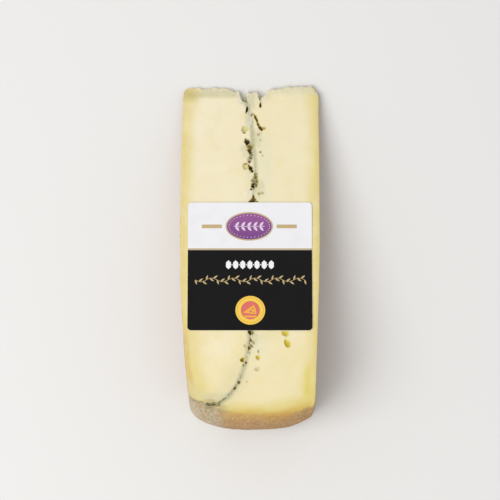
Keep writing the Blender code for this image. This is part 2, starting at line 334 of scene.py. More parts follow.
def linear(shade):
    """An sRGB colour from 0 to 255 as the linear values that Blender works in."""
    parts = [value / 255 for value in shade]
    return tuple(part / 12.92 if part <= 0.04045 else ((part + 0.055) / 1.055) ** 2.4 for part in parts)


def rise(value, start, end):
    """0 up to start and 1 from end on, with a smooth step between them."""
    share = np.clip((value - start) / (end - start), 0.0, 1.0)
    return share * share * (3 - 2 * share)


def fade(value, start, end):
    return 1 - rise(value, start, end)


LATTICE_SIZE = 32
LATTICE_SHIFT = 7.31
LATTICE = np.random.default_rng(7).random((LATTICE_SIZE,) * 3)


def close_by(distance, reach):
    """1 at no distance, falling evenly to 0 at the reach."""
    return np.clip(1 - distance / reach, 0.0, 1.0)


def turned(x, y, degrees):
    """Coordinates turned anticlockwise."""
    cosine, sine = math.cos(math.radians(degrees)), math.sin(math.radians(degrees))
    return x * cosine - y * sine, x * sine + y * cosine


def rough(points, size, shift=0.0):
    """Smooth noise from -1 to 1 at points on a plane or in space, with lumps about as large as size."""
    spot = np.zeros((len(points), 3))
    spot[:, :points.shape[1]] = points / size
    spot += shift * LATTICE_SHIFT
    low = np.floor(spot).astype(int)
    part = spot - low
    part = part * part * (3 - 2 * part)
    total = np.zeros(len(points))
    for corner in np.ndindex(2, 2, 2):
        weight = np.prod(np.where(corner, part, 1 - part), axis=1)
        index = (low + corner) % LATTICE_SIZE
        total += weight * LATTICE[index[:, 0], index[:, 1], index[:, 2]]
    return total * 2 - 1


def layered(points, waves, shift=0.0):
    """Noise of several heights and sizes, the shift one more for each."""
    return sum(height * rough(points, size, shift + number) for number, (height, size) in enumerate(waves))


def place(across, out, share, lift=0.0):
    """Points of the slice in metres. A lift stands off the cut, towards the upper side."""
    near_rim = rise(out, CHEESE_RADIUS - HEEL_DEPTH, CHEESE_RADIUS)
    corner = CORNER_REACH * rise(across, *CORNER_ACROSS)
    lean = (HEEL_LEAN - HEEL_SKEW * across / RIGHT_HALF - corner) * share
    swell = HEEL_SWELL * np.sin(np.pi * share)
    reach = out + near_rim * (swell - lean)
    angle = CUT_ANGLE * share
    x = AXIS_X + across * MM
    y = AXIS_Y - (reach * np.cos(angle) - lift * np.sin(angle)) * MM
    z = (reach * np.sin(angle) + lift * np.cos(angle)) * MM
    return np.stack(np.broadcast_arrays(x, y, z), axis=-1)


# Lines on the slice

def ring_area(ring):
    """Twice the area of a ring, positive where it runs anticlockwise."""
    after = np.roll(ring, -1, axis=0)
    return np.sum(ring[:, 0] * after[:, 1] - after[:, 0] * ring[:, 1])


def bottom_outline(node):
    """The outline of a CAD node's lower cut, as places across and out, anticlockwise."""
    bm = bmesh.new()
    bm.from_mesh(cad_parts[node].data)
    bmesh.ops.remove_doubles(bm, verts=bm.verts, dist=WELD)
    flat = {face for face in bm.faces if max(vert.co.z for vert in face.verts) < WELD}
    ahead = {}
    for edge in bm.edges:
        if len([face for face in edge.link_faces if face in flat]) == 1:
            first, second = edge.verts
            ahead.setdefault(first, []).append(second)
            ahead.setdefault(second, []).append(first)
    start = next(iter(ahead))
    ring = [start]
    before, here = start, ahead[start][0]
    while here is not start:
        ring.append(here)
        one, two = ahead[here]
        before, here = here, (two if one is before else one)
    places = np.array([((vert.co.x - AXIS_X) / MM, (AXIS_Y - vert.co.y) / MM) for vert in ring])
    bm.free()
    return places if ring_area(places) > 0 else places[::-1]


def run_between(ring, start, end):
    """The points of a closed ring from the one nearest to start, onwards to the one nearest to end."""
    first = np.linalg.norm(ring - start, axis=1).argmin()
    ring = np.roll(ring, -first, axis=0)
    last = np.linalg.norm(ring - end, axis=1).argmin()
    return ring[:last + 1]


def spline(points, closed):
    """A fine centripetal spline through the points."""
    if closed:
        knots = np.vstack([points[-1:], points, points[:2]])
    else:
        knots = np.vstack([2 * points[0] - points[1], points, 2 * points[-1] - points[-2]])
    first, second, third, fourth = knots[:-3], knots[1:-2], knots[2:-1], knots[3:]
    one = np.linalg.norm(second - first, axis=1)[:, None] ** 0.5
    two = one + np.linalg.norm(third - second, axis=1)[:, None] ** 0.5
    three = two + np.linalg.norm(fourth - third, axis=1)[:, None] ** 0.5
    rows = []
    for step in range(SPLINE_STEPS):
        at = one + (two - one) * step / SPLINE_STEPS
        low = (first * (one - at) + second * at) / one
        middle = (second * (two - at) + third * (at - one)) / (two - one)
        high = (third * (three - at) + fourth * (at - two)) / (three - two)
        left = (low * (two - at) + middle * at) / two
        right = (middle * (three - at) + high * (at - one)) / (three - one)
        rows.append((left * (two - at) + right * (at - one)) / (two - one))
    fine = np.stack(rows, axis=1).reshape(-1, 2)
    return fine if closed else np.vstack([fine, points[-1:]])


def thinned(points):
    """The points without those that all but touch the one before."""
    kept = [points[0]]
    for point in points[1:]:
        if np.linalg.norm(point - kept[-1]) > NEAREST_POINTS:
            kept.append(point)
    return np.array(kept)


def spaced(line, steps, count=None):
    """An open line with new points, as far apart as the step wanted at each old point, or a given count."""
    gaps = np.linalg.norm(np.diff(line, axis=0), axis=1) / ((steps[1:] + steps[:-1]) / 2)
    run = np.concatenate([[0.0], np.cumsum(gaps)])
    wanted = np.linspace(0.0, run[-1], count or round(run[-1]) + 1)
    return np.stack([np.interp(wanted, run, line[:, axis]) for axis in (0, 1)], axis=1)


def slice_lines():
    """The slice's whole outline and the middle of its ash, from the lower cuts of the CAD nodes."""
    ash, left, right = (bottom_outline(node) for node in ("ash_layer", "curd_left", "curd_right"))
    tip_left, tip_right = sorted(ash[ash[:, 1].argsort()[:2]], key=lambda point: point[0])
    exit_low, exit_high = sorted(ash[ash[:, 0].argsort()[:2]], key=lambda point: point[1])
    around = np.vstack([run_between(right, tip_right, exit_high), run_between(left, exit_low, tip_left)])
    fine = spline(thinned(around), closed=True)
    fine = np.vstack([fine, fine[:1]])
    lower_step = np.where(fine[:, 1] > HEEL_ZONE, HEEL_STEP, SIDE_STEP)
    outline = spaced(fine, np.where(fine[:, 1] < TIP_ZONE, TIP_STEP, lower_step))
    outline[:, 1] += CORNER_FILL * rise(outline[:, 0], *FILL_ACROSS) * rise(outline[:, 1], *FILL_OUT)

    sides = (run_between(ash, tip_right, exit_high), run_between(ash, exit_low, tip_left)[::-1])
    middle = sum(spaced(side, np.ones(len(side)), 2 * len(ash)) for side in sides) / 2
    middle = np.vstack([2 * middle[0] - middle[2], middle, 2 * middle[-1] - middle[-3]])
    fine = spline(thinned(middle), closed=False)
    fine[:, 1] += ASH_DROP * fade(fine[:, 0], *DROP_ACROSS) * rise(fine[:, 1], *DROP_OUT)
    return outline, spaced(fine, np.full(len(fine), ASH_STEP))


def side_normals(line, closed=False):
    """Unit vectors to the right of each point of a line, which point out of an anticlockwise loop."""
    if closed:
        along = np.roll(line, -1, axis=0) - np.roll(line, 1, axis=0)
    else:
        along = np.gradient(line, axis=0)
    along /= np.linalg.norm(along, axis=1)[:, None]
    return np.stack([along[:, 1], -along[:, 0]], axis=1)


def ash_halves(line):
    """Half of the ash's width at each point of its middle line."""
    return np.interp(np.linspace(0.0, 1.0, len(line)), ASH_RUN, ASH_HALVES)


def crossings(line, other):
    """Where two lines cross, as places on each: an index and the share of the way to the next point."""
    start, step = line[:-1, None], np.diff(line, axis=0)[:, None]
    begin, stride = other[None, :-1], np.diff(other, axis=0)[None]
    turn = step[..., 0] * stride[..., 1] - step[..., 1] * stride[..., 0]
    turn = np.where(np.abs(turn) < TINY, TINY, turn)
    apart = begin - start
    here = (apart[..., 0] * stride[..., 1] - apart[..., 1] * stride[..., 0]) / turn
    there = (apart[..., 0] * step[..., 1] - apart[..., 1] * step[..., 0]) / turn
    found = np.argwhere((here >= 0) & (here < 1) & (there >= 0) & (there < 1))
    return [(row + here[row, column], column + there[row, column]) for row, column in found]


def part_of(line, start, end):
    """The stretch of a line between two places on it."""
    def at(spot):
        index = min(int(spot), len(line) - 2)
        return line[index] + (line[index + 1] - line[index]) * (spot - index)
    first, last = at(start), at(end)
    inner = line[math.floor(start) + 1:math.ceil(end)]
    clear = [point for point in inner
             if min(np.linalg.norm(point - first), np.linalg.norm(point - last)) > NEAREST_POINTS]
    return np.vstack([first, *clear, last])


def half_loops(outline, ash_line):
    """The outlines of the two pieces of curd, anticlockwise, each with a mark on its outer points."""
    normals = side_normals(ash_line)
    halves = ash_halves(ash_line)[:, None]
    twice_round = np.vstack([outline[:-1], outline])
    once_round = len(outline) - 1
    loops = []
    for side in (-1, 1):
        edge = ash_line + side * halves * normals
        hits = sorted(crossings(edge, outline))
        (tip_edge, tip_out), (exit_edge, exit_out) = hits[0], hits[-1]
        cut = part_of(edge, tip_edge, exit_edge)
        start, end, back = (exit_out, tip_out, cut[1:-1]) if side < 0 else (tip_out, exit_out, cut[-2:0:-1])
        outer = part_of(twice_round, start, end if end > start else end + once_round)
        loop = np.vstack([outer, back])
        is_outer = np.arange(len(loop)) < len(outer)
        loops.append((loop, is_outer))
    return loops


def is_torn(points):
    """Which points of the outline belong to the broken tip."""
    return (points[:, 1] < TIP_ZONE) & (np.abs(points[:, 0]) < TIP_SIDE)


def rind_line(outline):
    """The part of the outline that is rind: all but the broken tip."""
    ring = outline[:-1]
    on_tip = is_torn(ring)
    first = np.argmax(~on_tip & np.roll(on_tip, 1) & (ring[:, 0] > 0))
    ring = np.roll(ring, -first, axis=0)
    return ring[~np.roll(on_tip, -first)]


def in_parts(points):
    """The points in parts that are small enough to set against a whole line at once."""
    return np.array_split(points, max(len(points) // POINTS_AT_ONCE, 1))


def nearest(points, line):
    """Distance to a line, negative on its left, and the place along it, for each point."""
    start, step = line[:-1], np.diff(line, axis=0)
    square = np.sum(step ** 2, axis=1)
    gaps, places = [], []
    for some in in_parts(points):
        away = some[:, None] - start[None]
        share = np.clip(np.sum(away * step, axis=2) / square, 0.0, 1.0)
        apart = away - share[..., None] * step
        distance = np.sum(apart ** 2, axis=2)
        best = distance.argmin(axis=1)
        rows = np.arange(len(some))
        turn = step[best, 0] * away[rows, best, 1] - step[best, 1] * away[rows, best, 0]
        gaps.append(np.sqrt(distance[rows, best]) * np.where(turn > 0, -1.0, 1.0))
        places.append(best + share[rows, best])
    return np.concatenate(gaps), np.concatenate(places)


def distance_to(points, line):
    """Distance of each point to a line."""
    return np.abs(nearest(points, line)[0])


def inside(points, ring):
    """Which points lie inside a closed ring."""
    x, y = ring.T
    x_after, y_after = np.roll(ring, -1, axis=0).T
    slope = (x_after - x) / np.where(y_after == y, TINY, y_after - y)
    found = []
    for some in in_parts(points):
        height = some[:, 1:2]
        spans = (y > height) != (y_after > height)
        found.append(np.count_nonzero(spans & (some[:, :1] < x + (height - y) * slope), axis=1) % 2 == 1)
    return np.concatenate(found)


# Eyes and other dents in the cut faces

def eye_wobble(eye, around):
    """How an eye's rim swells and shrinks with the direction."""
    phase = eye.across * 7 + eye.out * 3
    swell = 1.0
    for number, (lobes, height) in enumerate(EYE_LOBES, 1):
        swell = swell + height * np.sin(lobes * around + number * phase)
    return swell


def eye_reach(points, eye):
    """How far points are from an eye's middle, as a share of its uneven rim."""
    x, y = turned(points[:, 0] - eye.across, eye.out - points[:, 1], -eye.turn)
    x, y = x / eye.half, y / eye.length
    return np.hypot(x, y) / eye_wobble(eye, np.arctan2(y, x))


def eye_ring(eye, reach):
    """Points round an eye at a share of its rim."""
    size = max(eye.half, eye.length) * max(reach, 0.05)
    count = 1 if reach < 0.1 else int(np.clip(2 * math.pi * size / EYE_STEP, *EYE_POINTS))
    around = np.linspace(0, 2 * math.pi, count, endpoint=False) + reach * 5
    wobble = eye_wobble(eye, around)
    x = eye.half * reach * wobble * np.cos(around)
    y = eye.length * reach * wobble * np.sin(around)
    x, y = turned(x, y, eye.turn)
    return np.stack([eye.across + x, eye.out - y], axis=1)


def lower_eyes(ash_line):
    """Eyes of the lower cut: most along the ash, some out in the paste."""
    draw = np.random.default_rng(LOWER_EYE_SEED)
    eyes = []
    for number in range(LOWER_EYE_COUNT):
        out = draw.uniform(*LOWER_EYE_RUN)
        near_ash = number % 3 > 0
        spread = draw.normal(0.0, 1.6) if near_ash else draw.uniform(-24.0, 24.0)
        middle = ash_line[np.abs(ash_line[:, 1] - out).argmin(), 0]
        half = draw.uniform(0.4, 1.3)
        soot = draw.uniform(0.5, 1.0) if near_ash and abs(spread) < 1.8 else draw.uniform(0.05, 0.35)
        length = half * draw.uniform(1.0, 1.7)
        eyes.append(Eye(middle + spread, out, half, length, half * 1.2, draw.uniform(-30, 30), soot, 0.5))
    return tuple(eyes)


def dents(points, eyes):
    """Depth of the eyes, and how much of an eye shows, how sooty and how grey it is, at points of a cut."""
    depth, hollow, soot, grey = (np.zeros(len(points)) for _ in range(4))
    fuzz = 0.2 * rough(points, 0.7, 4)
    for eye in eyes:
        reach = eye_reach(points, eye)
        inner = np.clip(reach, 0.0, 1.0)
        depth = np.maximum(depth, eye.depth * (1 - inner ** 2.4) ** 0.7)
        shown = fade(reach + fuzz, 0.78, 1.5)
        tone = eye.soot * (1 - 0.4 * rise(reach + fuzz, 0.5, 1.3))
        leads = shown > hollow
        soot = np.where(leads, tone, np.maximum(soot, tone * shown))
        grey = np.where(leads, eye.grey, grey)
        hollow = np.maximum(hollow, shown)
    return depth, {"hollow": hollow, "soot": soot, "ashy": grey}


def patches(points, places):
    """How much of the patches of an uneven round shape shows at points."""
    total = np.zeros(len(points))
    fuzz = 0.35 * rough(points, 1.1, 12)
    for across, out, half, length in places:
        reach = np.hypot((points[:, 0] - across) / half, (points[:, 1] - out) / length)
        total = np.maximum(total, fade(reach + fuzz, 0.5, 1.3))
    return total


def ledge(points):
    """Depth of the torn ledge along the left of the tip."""
    on_left = fade(points[:, 0], LEDGE_SIDE - 1.5, LEDGE_SIDE)
    slope = np.clip((LEDGE_END - points[:, 1]) / 4.0, 0.0, 1.2)
    return LEDGE_DEPTH * slope * on_left


def waviness(points, shift=0.0):
    """Gentle unevenness of a cut face, more of it near the torn tip."""
    torn = fade(points[:, 1], 14.0, 24.0)
    return layered(points, GENTLE_WAVES, shift) + torn * layered(points, TORN_WAVES, shift + 2)


# Meshes of the curd

def upper_cut(points):
    """Height of the upper cut's surface over its plane, and the marks of its eyes."""
    depth, marks = dents(points, UPPER_EYES)
    return waviness(points) - depth - ledge(points), marks


def grid_points(loop, features):
    """Points inside a loop's box on hexagonal grids, the finer the nearer to the features."""
    tree = kdtree.KDTree(len(features))
    for index, point in enumerate(features):
        tree.insert((point[0], point[1], 0.0), index)
    tree.balance()
    low, high = loop.min(axis=0), loop.max(axis=0)
    limits = (0.0, (FINE_GRID + MIDDLE_GRID) / 2, (MIDDLE_GRID + COARSE_GRID) / 2, math.inf)
    kept = []
    for level, grid in enumerate((FINE_GRID, MIDDLE_GRID, COARSE_GRID)):
        pitch = grid * HEXAGON
        column, row = np.meshgrid(np.arange(int((high[0] - low[0]) / grid) + 1),
                                  np.arange(int((high[1] - low[1]) / pitch) + 1))
        spots = np.stack([low[0] + (column + 0.5 * (row % 2)) * grid, low[1] + row * pitch], axis=-1)
        for spot in spots.reshape(-1, 2):
            gap = tree.find((spot[0], spot[1], 0.0))[2]
            wanted = min(FINE_GRID * 0.95 + GRID_GROWTH * gap, COARSE_GRID)
            if limits[level] <= wanted < limits[level + 1]:
                kept.append(spot)
    return np.array(kept)


def points_within(loop, is_outer, eyes, ash_line):
    """The points of a cut face inside its loop: the grid, the rings of the eyes and rows along the edge."""
    closed = np.vstack([loop, loop[:1]])
    spots = grid_points(loop, np.vstack([ash_line, [eye[:2] for eye in eyes]]))
    for eye in eyes:
        spots = spots[eye_reach(spots, eye) > EYE_CLEAR]
    gap = distance_to(spots, closed)
    beside_ash = distance_to(spots, ash_line) < ASH_SIDE
    spots = spots[(gap > GRID_CLEAR) | (beside_ash & (gap > ASH_CLEAR))]

    rings = []
    for number, eye in enumerate(eyes):
        ring = np.vstack([eye_ring(eye, reach) for reach in EYE_RINGS])
        for other in eyes[:number]:
            ring = ring[eye_reach(ring, other) > RING_CLEAR_OF_EYE]
        rings.append(ring)
    rings = np.vstack(rings)
    rings = rings[distance_to(rings, closed) > RING_CLEAR]

    normals = side_normals(loop, closed=True)[is_outer]
    rows = []
    for depth in EDGE_ROWS:
        row = loop[is_outer] - normals * depth
        rows.append(row[distance_to(row, closed) > depth * 0.9])
    within = np.vstack([spots, rings, *rows])
    return within[inside(within, loop)]


def cut_face(loop, is_outer, eyes, ash_line):
    """Points and triangles of a cut face. The loop's own points come first."""
    everything = np.vstack([loop, points_within(loop, is_outer, eyes, ash_line)])
    count = len(loop)
    result = delaunay_2d_cdt([tuple(point) for point in everything], [], [list(range(count))], 1, WELD, True)
    points = np.array([tuple(point) for point in result[0]])
    triangles = np.array(result[2])
    triangles = triangles[inside(points[triangles].mean(axis=1), loop)]
    origins = {source: index for index, sources in enumerate(result[3]) for source in sources}
    first = [origins[index] for index in range(count)]
    if len(set(first)) != count:
        raise RuntimeError("two points of a cut's outline fell together")
    order = first + sorted(set(triangles.ravel().tolist()) - set(first))
    renumber = np.full(len(points), -1)
    renumber[order] = np.arange(len(order))
    return points[order], renumber[triangles]


def wall_levels():
    """Shares of the cut angle for the rows of a wall, closer together near the cut faces."""
    even = np.linspace(0.0, 1.0, WALL_LEVELS + 1)
    return EVEN_LEVELS * even + (1 - EVEN_LEVELS) * (1 - np.cos(np.pi * even)) / 2


def crust(points):
    """Thickness of the rind where it shows on a cut."""
    heel = np.interp(points[:, 0], CRUST_PLACES, CRUST_SIZES)
    return SIDE_CRUST + (heel - SIDE_CRUST) * rise(points[:, 1], 156.0, 165.0)


def to_cuts(out, share):
    """How far points inside the slice are below the upper cut and above the lower one."""
    height = CUT_ANGLE * out
    return (1 - share) * height, share * height


def carried(out, share, top_lift, low_lift):
    """How far points of a wall follow the unevenness of the cuts above and below them."""
    below, above = to_cuts(out, share)
    reach = np.minimum(DENT_REACH, DENT_SHARE * CUT_ANGLE * out)
    return top_lift * close_by(below, reach) ** 2 + low_lift * close_by(above, reach) ** 2


def face_marks(points, lines):
    """Shares from 0 to 1 for each tone of a cut face, at points of the slice.

    A pair of numbers is where a tone starts and where it is full or gone, in millimetres: across the
    slice, out from the axis, in from the rind, or away from the ash or the torn tip.
    """
    outline, ash_line, rind, tip = lines
    across, out = points.T
    inset = distance_to(points, rind)
    gap = nearest(points, ash_line)[0] - 0.25 * rough(points, 2.0, 5)
    uneven = inset + 0.9 * rough(points, 9.0, 6) * rise(inset, 0.5, 3.0)
    near_heel = rise(out, 145.0, 161.0)
    right = rise(across, -2.0, 2.0)
    low = rise(out, 120.0, 142.0)
    heel = rise(out, 150.0, 165.0)
    upper_ash = fade(out, 56.0, 68.0)
    lower_ash = rise(out, 124.0, 132.0)
    edge_of_rind = inset + rise(out, 156.0, 163.0) * layered(points, RIND_EDGE_WAVES, 9)
    low_left = fade(across, -12.0, 0.0) * low
    yellow_reach = 1.6 * low_left + 2.6 * near_heel * rise(np.abs(across), 5.0, 19.0)
    tan_strip = fade(uneven - 0.7 * low_left, 0.5, 2.6) * (0.35 + 0.65 * low)
    wet_strip = np.exp(-((inset - 4.0) / 1.7) ** 2) * right
    on_ledge = fade(across, LEDGE_SIDE - 2.0, LEDGE_SIDE) * fade(out, LEDGE_END - 0.9, LEDGE_END + 0.4)
    tinged = rise(out, 26.0, 38.0) * fade(out, 64.0, 80.0) + rise(out, 128.0, 134.0) * fade(out, 139.0, 144.0)
    upper_halo = fade(np.abs(gap - 0.35), 0.4, 1.6) * upper_ash * (1 - 0.3 * rise(out, 34.0, 48.0))
    beside = 0.5 * rise(out, 150.0, 157.0) - 0.25
    lower_halo = fade(np.abs(gap - beside), 0.2, 2.0) * lower_ash * rise(across, -27.0, -20.0)
    deep_edge = fade(uneven + 0.8 * rise(across, 6.0, 12.0), 1.6, 5.6)
    rim_run = rise(across, 4.0, 9.0) * fade(across, 17.0, 24.0)
    return {
        "lower": rise(out, 55.0, 150.0),
        "right": right,
        "edge": fade(uneven - yellow_reach, 1.2, 8.6),
        "strip": tan_strip * (1 - 0.75 * right * low),
        "wet": wet_strip * rise(out, 144.0, 152.0) * fade(out, 158.0, 167.0),
        "warm": fade(uneven, 2.5, 9.0) * heel,
        "amber": deep_edge * rise(out, 157.0, 166.0) * rise(across, -18.0, -6.0) * fade(across, 26.0, 32.0),
        "rim": fade(inset, 1.2, 3.4) * rise(out, 160.0, 166.0) * rim_run,
        "ledge": on_ledge * rise(distance_to(points, outline), 0.4, 1.8),
        "corner": fade(across, -28.0, -21.0) * fade(out, 12.8, 17.0) * rise(out, 8.5, 10.5),
        "tinge": fade(np.abs(gap - 4.5), 1.5, 6.0) * tinged,
        "halo": upper_halo + lower_halo,
        "haze": patches(points, HAZES),
        "smoke": fade(np.abs(gap + 1.2), 1.5, 9.0) * rise(out, 141.0, 151.0),
        "stain": patches(points, STAINS),
        # Painted shade: greyer paste within a few millimetres of the torn tip's rounded edge
        "dry_and_tip_shade": fade(distance_to(points, tip), 0.3, 4.6) * rise(across, -29.0, -19.0),
        "milky": patches(points, MILKY),
        "bloom": patches(points, BLOOMS),
        "sooty": patches(points, SOOTY),
        "smudge": patches(points, SMUDGES),
        "chalk": fade(across, -28.5, -21.0) * rise(out, 149.0, 166.0),
        "grey": fade(across, -20.5, -6.0) * rise(out, 147.0, 166.0),
        "crust": fade(edge_of_rind - crust(points), -1.0, 0.6) * (1 - 0.85 * fade(out, 100.0, 140.0)),
    }


def wall_faces(count, tops, lows, levels):
    """Faces of the wall between the lower and the upper cut, whose points come first in both."""
    rows = np.arange(count)
    after = np.roll(rows, -1)
    stack = [tops + rows] + [tops + lows + level * count + rows for level in range(levels)] + [rows]
    walls = [np.stack([under, over, over[after], under[after]], axis=1)
             for under, over in zip(stack, stack[1:])]
    return np.vstack(walls).tolist()


def half_mesh(loop, is_outer, lines, edge_round):
    """Points, faces and tone marks of one piece of curd: its upper cut, its lower cut, then its wall."""
    ash_line, rind = lines[1:3]
    low_eyes = lower_eyes(ash_line)
    top, top_faces = cut_face(loop, is_outer, UPPER_EYES, ash_line)
    low, low_faces = cut_face(loop, is_outer, low_eyes, ash_line)
    count, tops, lows = len(loop), len(top), len(low)
    inner = wall_levels()[1:-1]

    def down_wall(values):
        """The values of the loop's points for each row of the wall."""
        return np.concatenate([values] * len(inner))

    on_tip = is_torn(loop)
    soft = np.where(is_outer, np.where(on_tip, TIP_ROUND, edge_round / MM), ASH_ROUND)
    closed = np.vstack([loop, loop[:1]])
    closed_soft = np.append(soft, soft[0])

    def rounding(points):
        """How far the rounded edge of a cut face falls away."""
        gap, spot = nearest(points, closed)
        radius = np.interp(spot, np.arange(count + 1), closed_soft)
        return ROUND_SHARE * radius * close_by(np.abs(gap), radius) ** 2

    top_lift, top_marks = upper_cut(top)
    top_lift -= rounding(top)
    low_depth, low_marks = dents(low, low_eyes)
    low_lift = np.abs(waviness(low, LOWER_WAVES_SHIFT)) + low_depth + rounding(low)
    wall = down_wall(loop)
    wall_share = np.repeat(inner, count)
    below, above = to_cuts(wall[:, 1], wall_share)
    wall_lift = carried(wall[:, 1], wall_share, down_wall(top_lift[:count]), down_wall(low_lift[:count]))

    solid = place(wall[:, 0], wall[:, 1], wall_share) / MM
    relief = np.where(down_wall(on_tip), layered(solid, TIP_RELIEF, 4), layered(solid, RIND_RELIEF, 1))
    relief *= down_wall(is_outer) * rise(np.minimum(below, above), 0.0, 1.6)
    relief *= down_wall(rise(np.linalg.norm(loop - ash_line[-1], axis=1), 1.0, 4.0))
    radius = down_wall(soft)
    inward = ROUND_SHARE * radius * (close_by(below, radius) ** 2 + close_by(above, radius) ** 2)
    normals = side_normals(loop, closed=True)
    edge_inward = -normals * (ROUND_SHARE * soft)[:, None]
    spots = np.vstack([top, low, wall])
    spots[:count] += edge_inward
    spots[tops:tops + count] += edge_inward
    spots[tops + lows:] += down_wall(normals) * (relief - inward)[:, None]
    share = np.concatenate([np.ones(tops), np.zeros(lows), wall_share])
    points = place(spots[:, 0], spots[:, 1], share, np.concatenate([top_lift, low_lift, wall_lift]))
    points[:, 2] = np.maximum(points[:, 2], 0.0)

    caps = face_marks(np.vstack([top, low]), lines)
    marks = {key: np.concatenate([value, down_wall(value[:count])]) for key, value in caps.items()}
    near_top, near_low = close_by(below, EYE_FALL), close_by(above, EYE_FALL)
    for key in top_marks:
        upper, lower = (down_wall(side[key][:count]) for side in (top_marks, low_marks))
        wall_mark = np.where(near_top > 0, upper * near_top, lower * near_low)
        marks[key] = np.concatenate([top_marks[key], low_marks[key], wall_mark])
    beside_rind = fade(distance_to(loop, rind), 0.6, 1.6)
    rind_wall = np.where(is_outer, ~on_tip, beside_rind)
    paste_rim = fade(below, 0.2, 1.6) * down_wall(1 - marks["crust"][:count])
    marks["crust"][tops + lows:] = down_wall(rind_wall) * (1 - paste_rim)
    marks["crust"][tops:tops + count] = rind_wall
    marks["fall"] = 1 - share
    marks["sooty"][tops + lows:] *= fade(below, 0.3, 4.0)
    faces = top_faces[:, ::-1].tolist() + (low_faces + tops).tolist()
    return points, faces + wall_faces(count, tops, lows, len(inner)), marks


def ash_mesh(lines):
    """The sheet of ash between the pieces of curd, with an uneven grainy top."""
    outline, ash_line = lines
    hits = sorted(crossings(ash_line, outline))
    middle = part_of(ash_line, hits[0][0] + ASH_START, hits[-1][0] - ASH_SHORT)
    whole = nearest(middle, ash_line)[1]
    halves = np.interp(whole, np.arange(len(ash_line)), ash_halves(ash_line)) + ASH_OVERLAP
    levels = wall_levels()
    columns = np.linspace(-1.0, 1.0, ASH_COLUMNS)
    section = [(-1.0, level) for level in levels] + [(column, 1.0) for column in columns[1:-1]]
    section += [(1.0, level) for level in levels[::-1]] + [(column, 0.0) for column in columns[-2:0:-1]]
    offsets, shares = np.array(section).T
    size, rows = len(section), len(middle)
    aside = side_normals(middle)[:, None] * (offsets[None, :, None] * halves[:, None, None])
    flat = (middle[:, None] + aside).reshape(-1, 2)
    share = np.tile(shares, rows)
    run = whole / (len(ash_line) - 1)
    sunk = ASH_SUNK + END_DROP * np.repeat(rise(run, 0.985, 1.0), size)
    top_lift, marks = upper_cut(flat)
    top_lift = top_lift - sunk + ASH_GRIT * rough(flat, 0.7, 8)
    points = place(flat[:, 0], flat[:, 1], share, carried(flat[:, 1], share, top_lift, ASH_LOW_LIFT))
    ring = np.arange(size)
    ring_after = np.roll(ring, -1)
    faces = []
    for here in range(0, (rows - 1) * size, size):
        there = here + size
        faces += np.stack([here + ring, here + ring_after, there + ring_after, there + ring], axis=1).tolist()
    faces += [ring[::-1].tolist(), ((rows - 1) * size + ring).tolist()]
    marks["bloom"] = patches(flat, BLOOMS)
    marks["thick"] = np.repeat(np.interp(run, *zip(*ASH_DARKNESS)), size)
    marks["rind"] = np.repeat(rise(run, 0.942, 0.956), size)
    return points, faces, marks


# Writing pieces

def new_object(name, data):
    """An object for a mesh, a light or a camera, linked to the scene."""
    made = bpy.data.objects.new(name, data)
    bpy.context.scene.collection.objects.link(made)
    return made


def make_object(name, points, faces, materials, marks=None, picks=None, sharp=50.0):
    """A mesh object with smooth faces, its tone marks as attributes and its materials."""
    mesh = bpy.data.meshes.new(name)
    mesh.from_pydata(np.asarray(points).tolist(), [], faces)
    for key, values in (marks or {}).items():
        mark = mesh.attributes.new(key, "FLOAT", "POINT")
        mark.data.foreach_set("value", np.asarray(values, np.float32))
    for material in materials:
        mesh.materials.append(material)
    if picks is not None:
        mesh.polygons.foreach_set("material_index", np.asarray(picks, np.int32))
    mesh.shade_smooth()
    mesh.set_sharp_from_angle(angle=math.radians(sharp))
    return new_object(name, mesh)


def hand_over(piece, slot, *nodes):
    """Let a finished piece ride on the part, and hide the CAD nodes that it stands in for."""
    if not piece.data.polygons:
        raise RuntimeError(f"{piece.name} came out empty")
    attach(piece, "root")
    if nodes:
        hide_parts(*nodes)


# Materials

class Wiring:
    """A node tree, with short ways to add to it."""

    def fill(self, socket, value):
        """Link a socket to the value where that is a node's output, or else set it."""
        if isinstance(value, bpy.types.NodeSocket):
            self.tree.links.new(value, socket)
        else:
            socket.default_value = value

    def add(self, kind, sockets=(), out=0, **settings):
        """A node with its settings made and its sockets filled. Returns one of its outputs."""
        node = self.tree.nodes.new(kind)
        for key, value in settings.items():
            setattr(node, key, value)
        for key, value in (sockets.items() if isinstance(sockets, dict) else sockets):
            self.fill(node.inputs[key], value)
        return node.outputs[out]

    def maths(self, operation, *values):
        return self.add("ShaderNodeMath", enumerate(values), operation=operation)

    def times(self, first, second):
        return self.maths("MULTIPLY", first, second)

    def plus(self, first, second):
        return self.maths("ADD", first, second)

    def axis(self, vector, out):
        return self.add("ShaderNodeSeparateXYZ", {0: vector}, out)


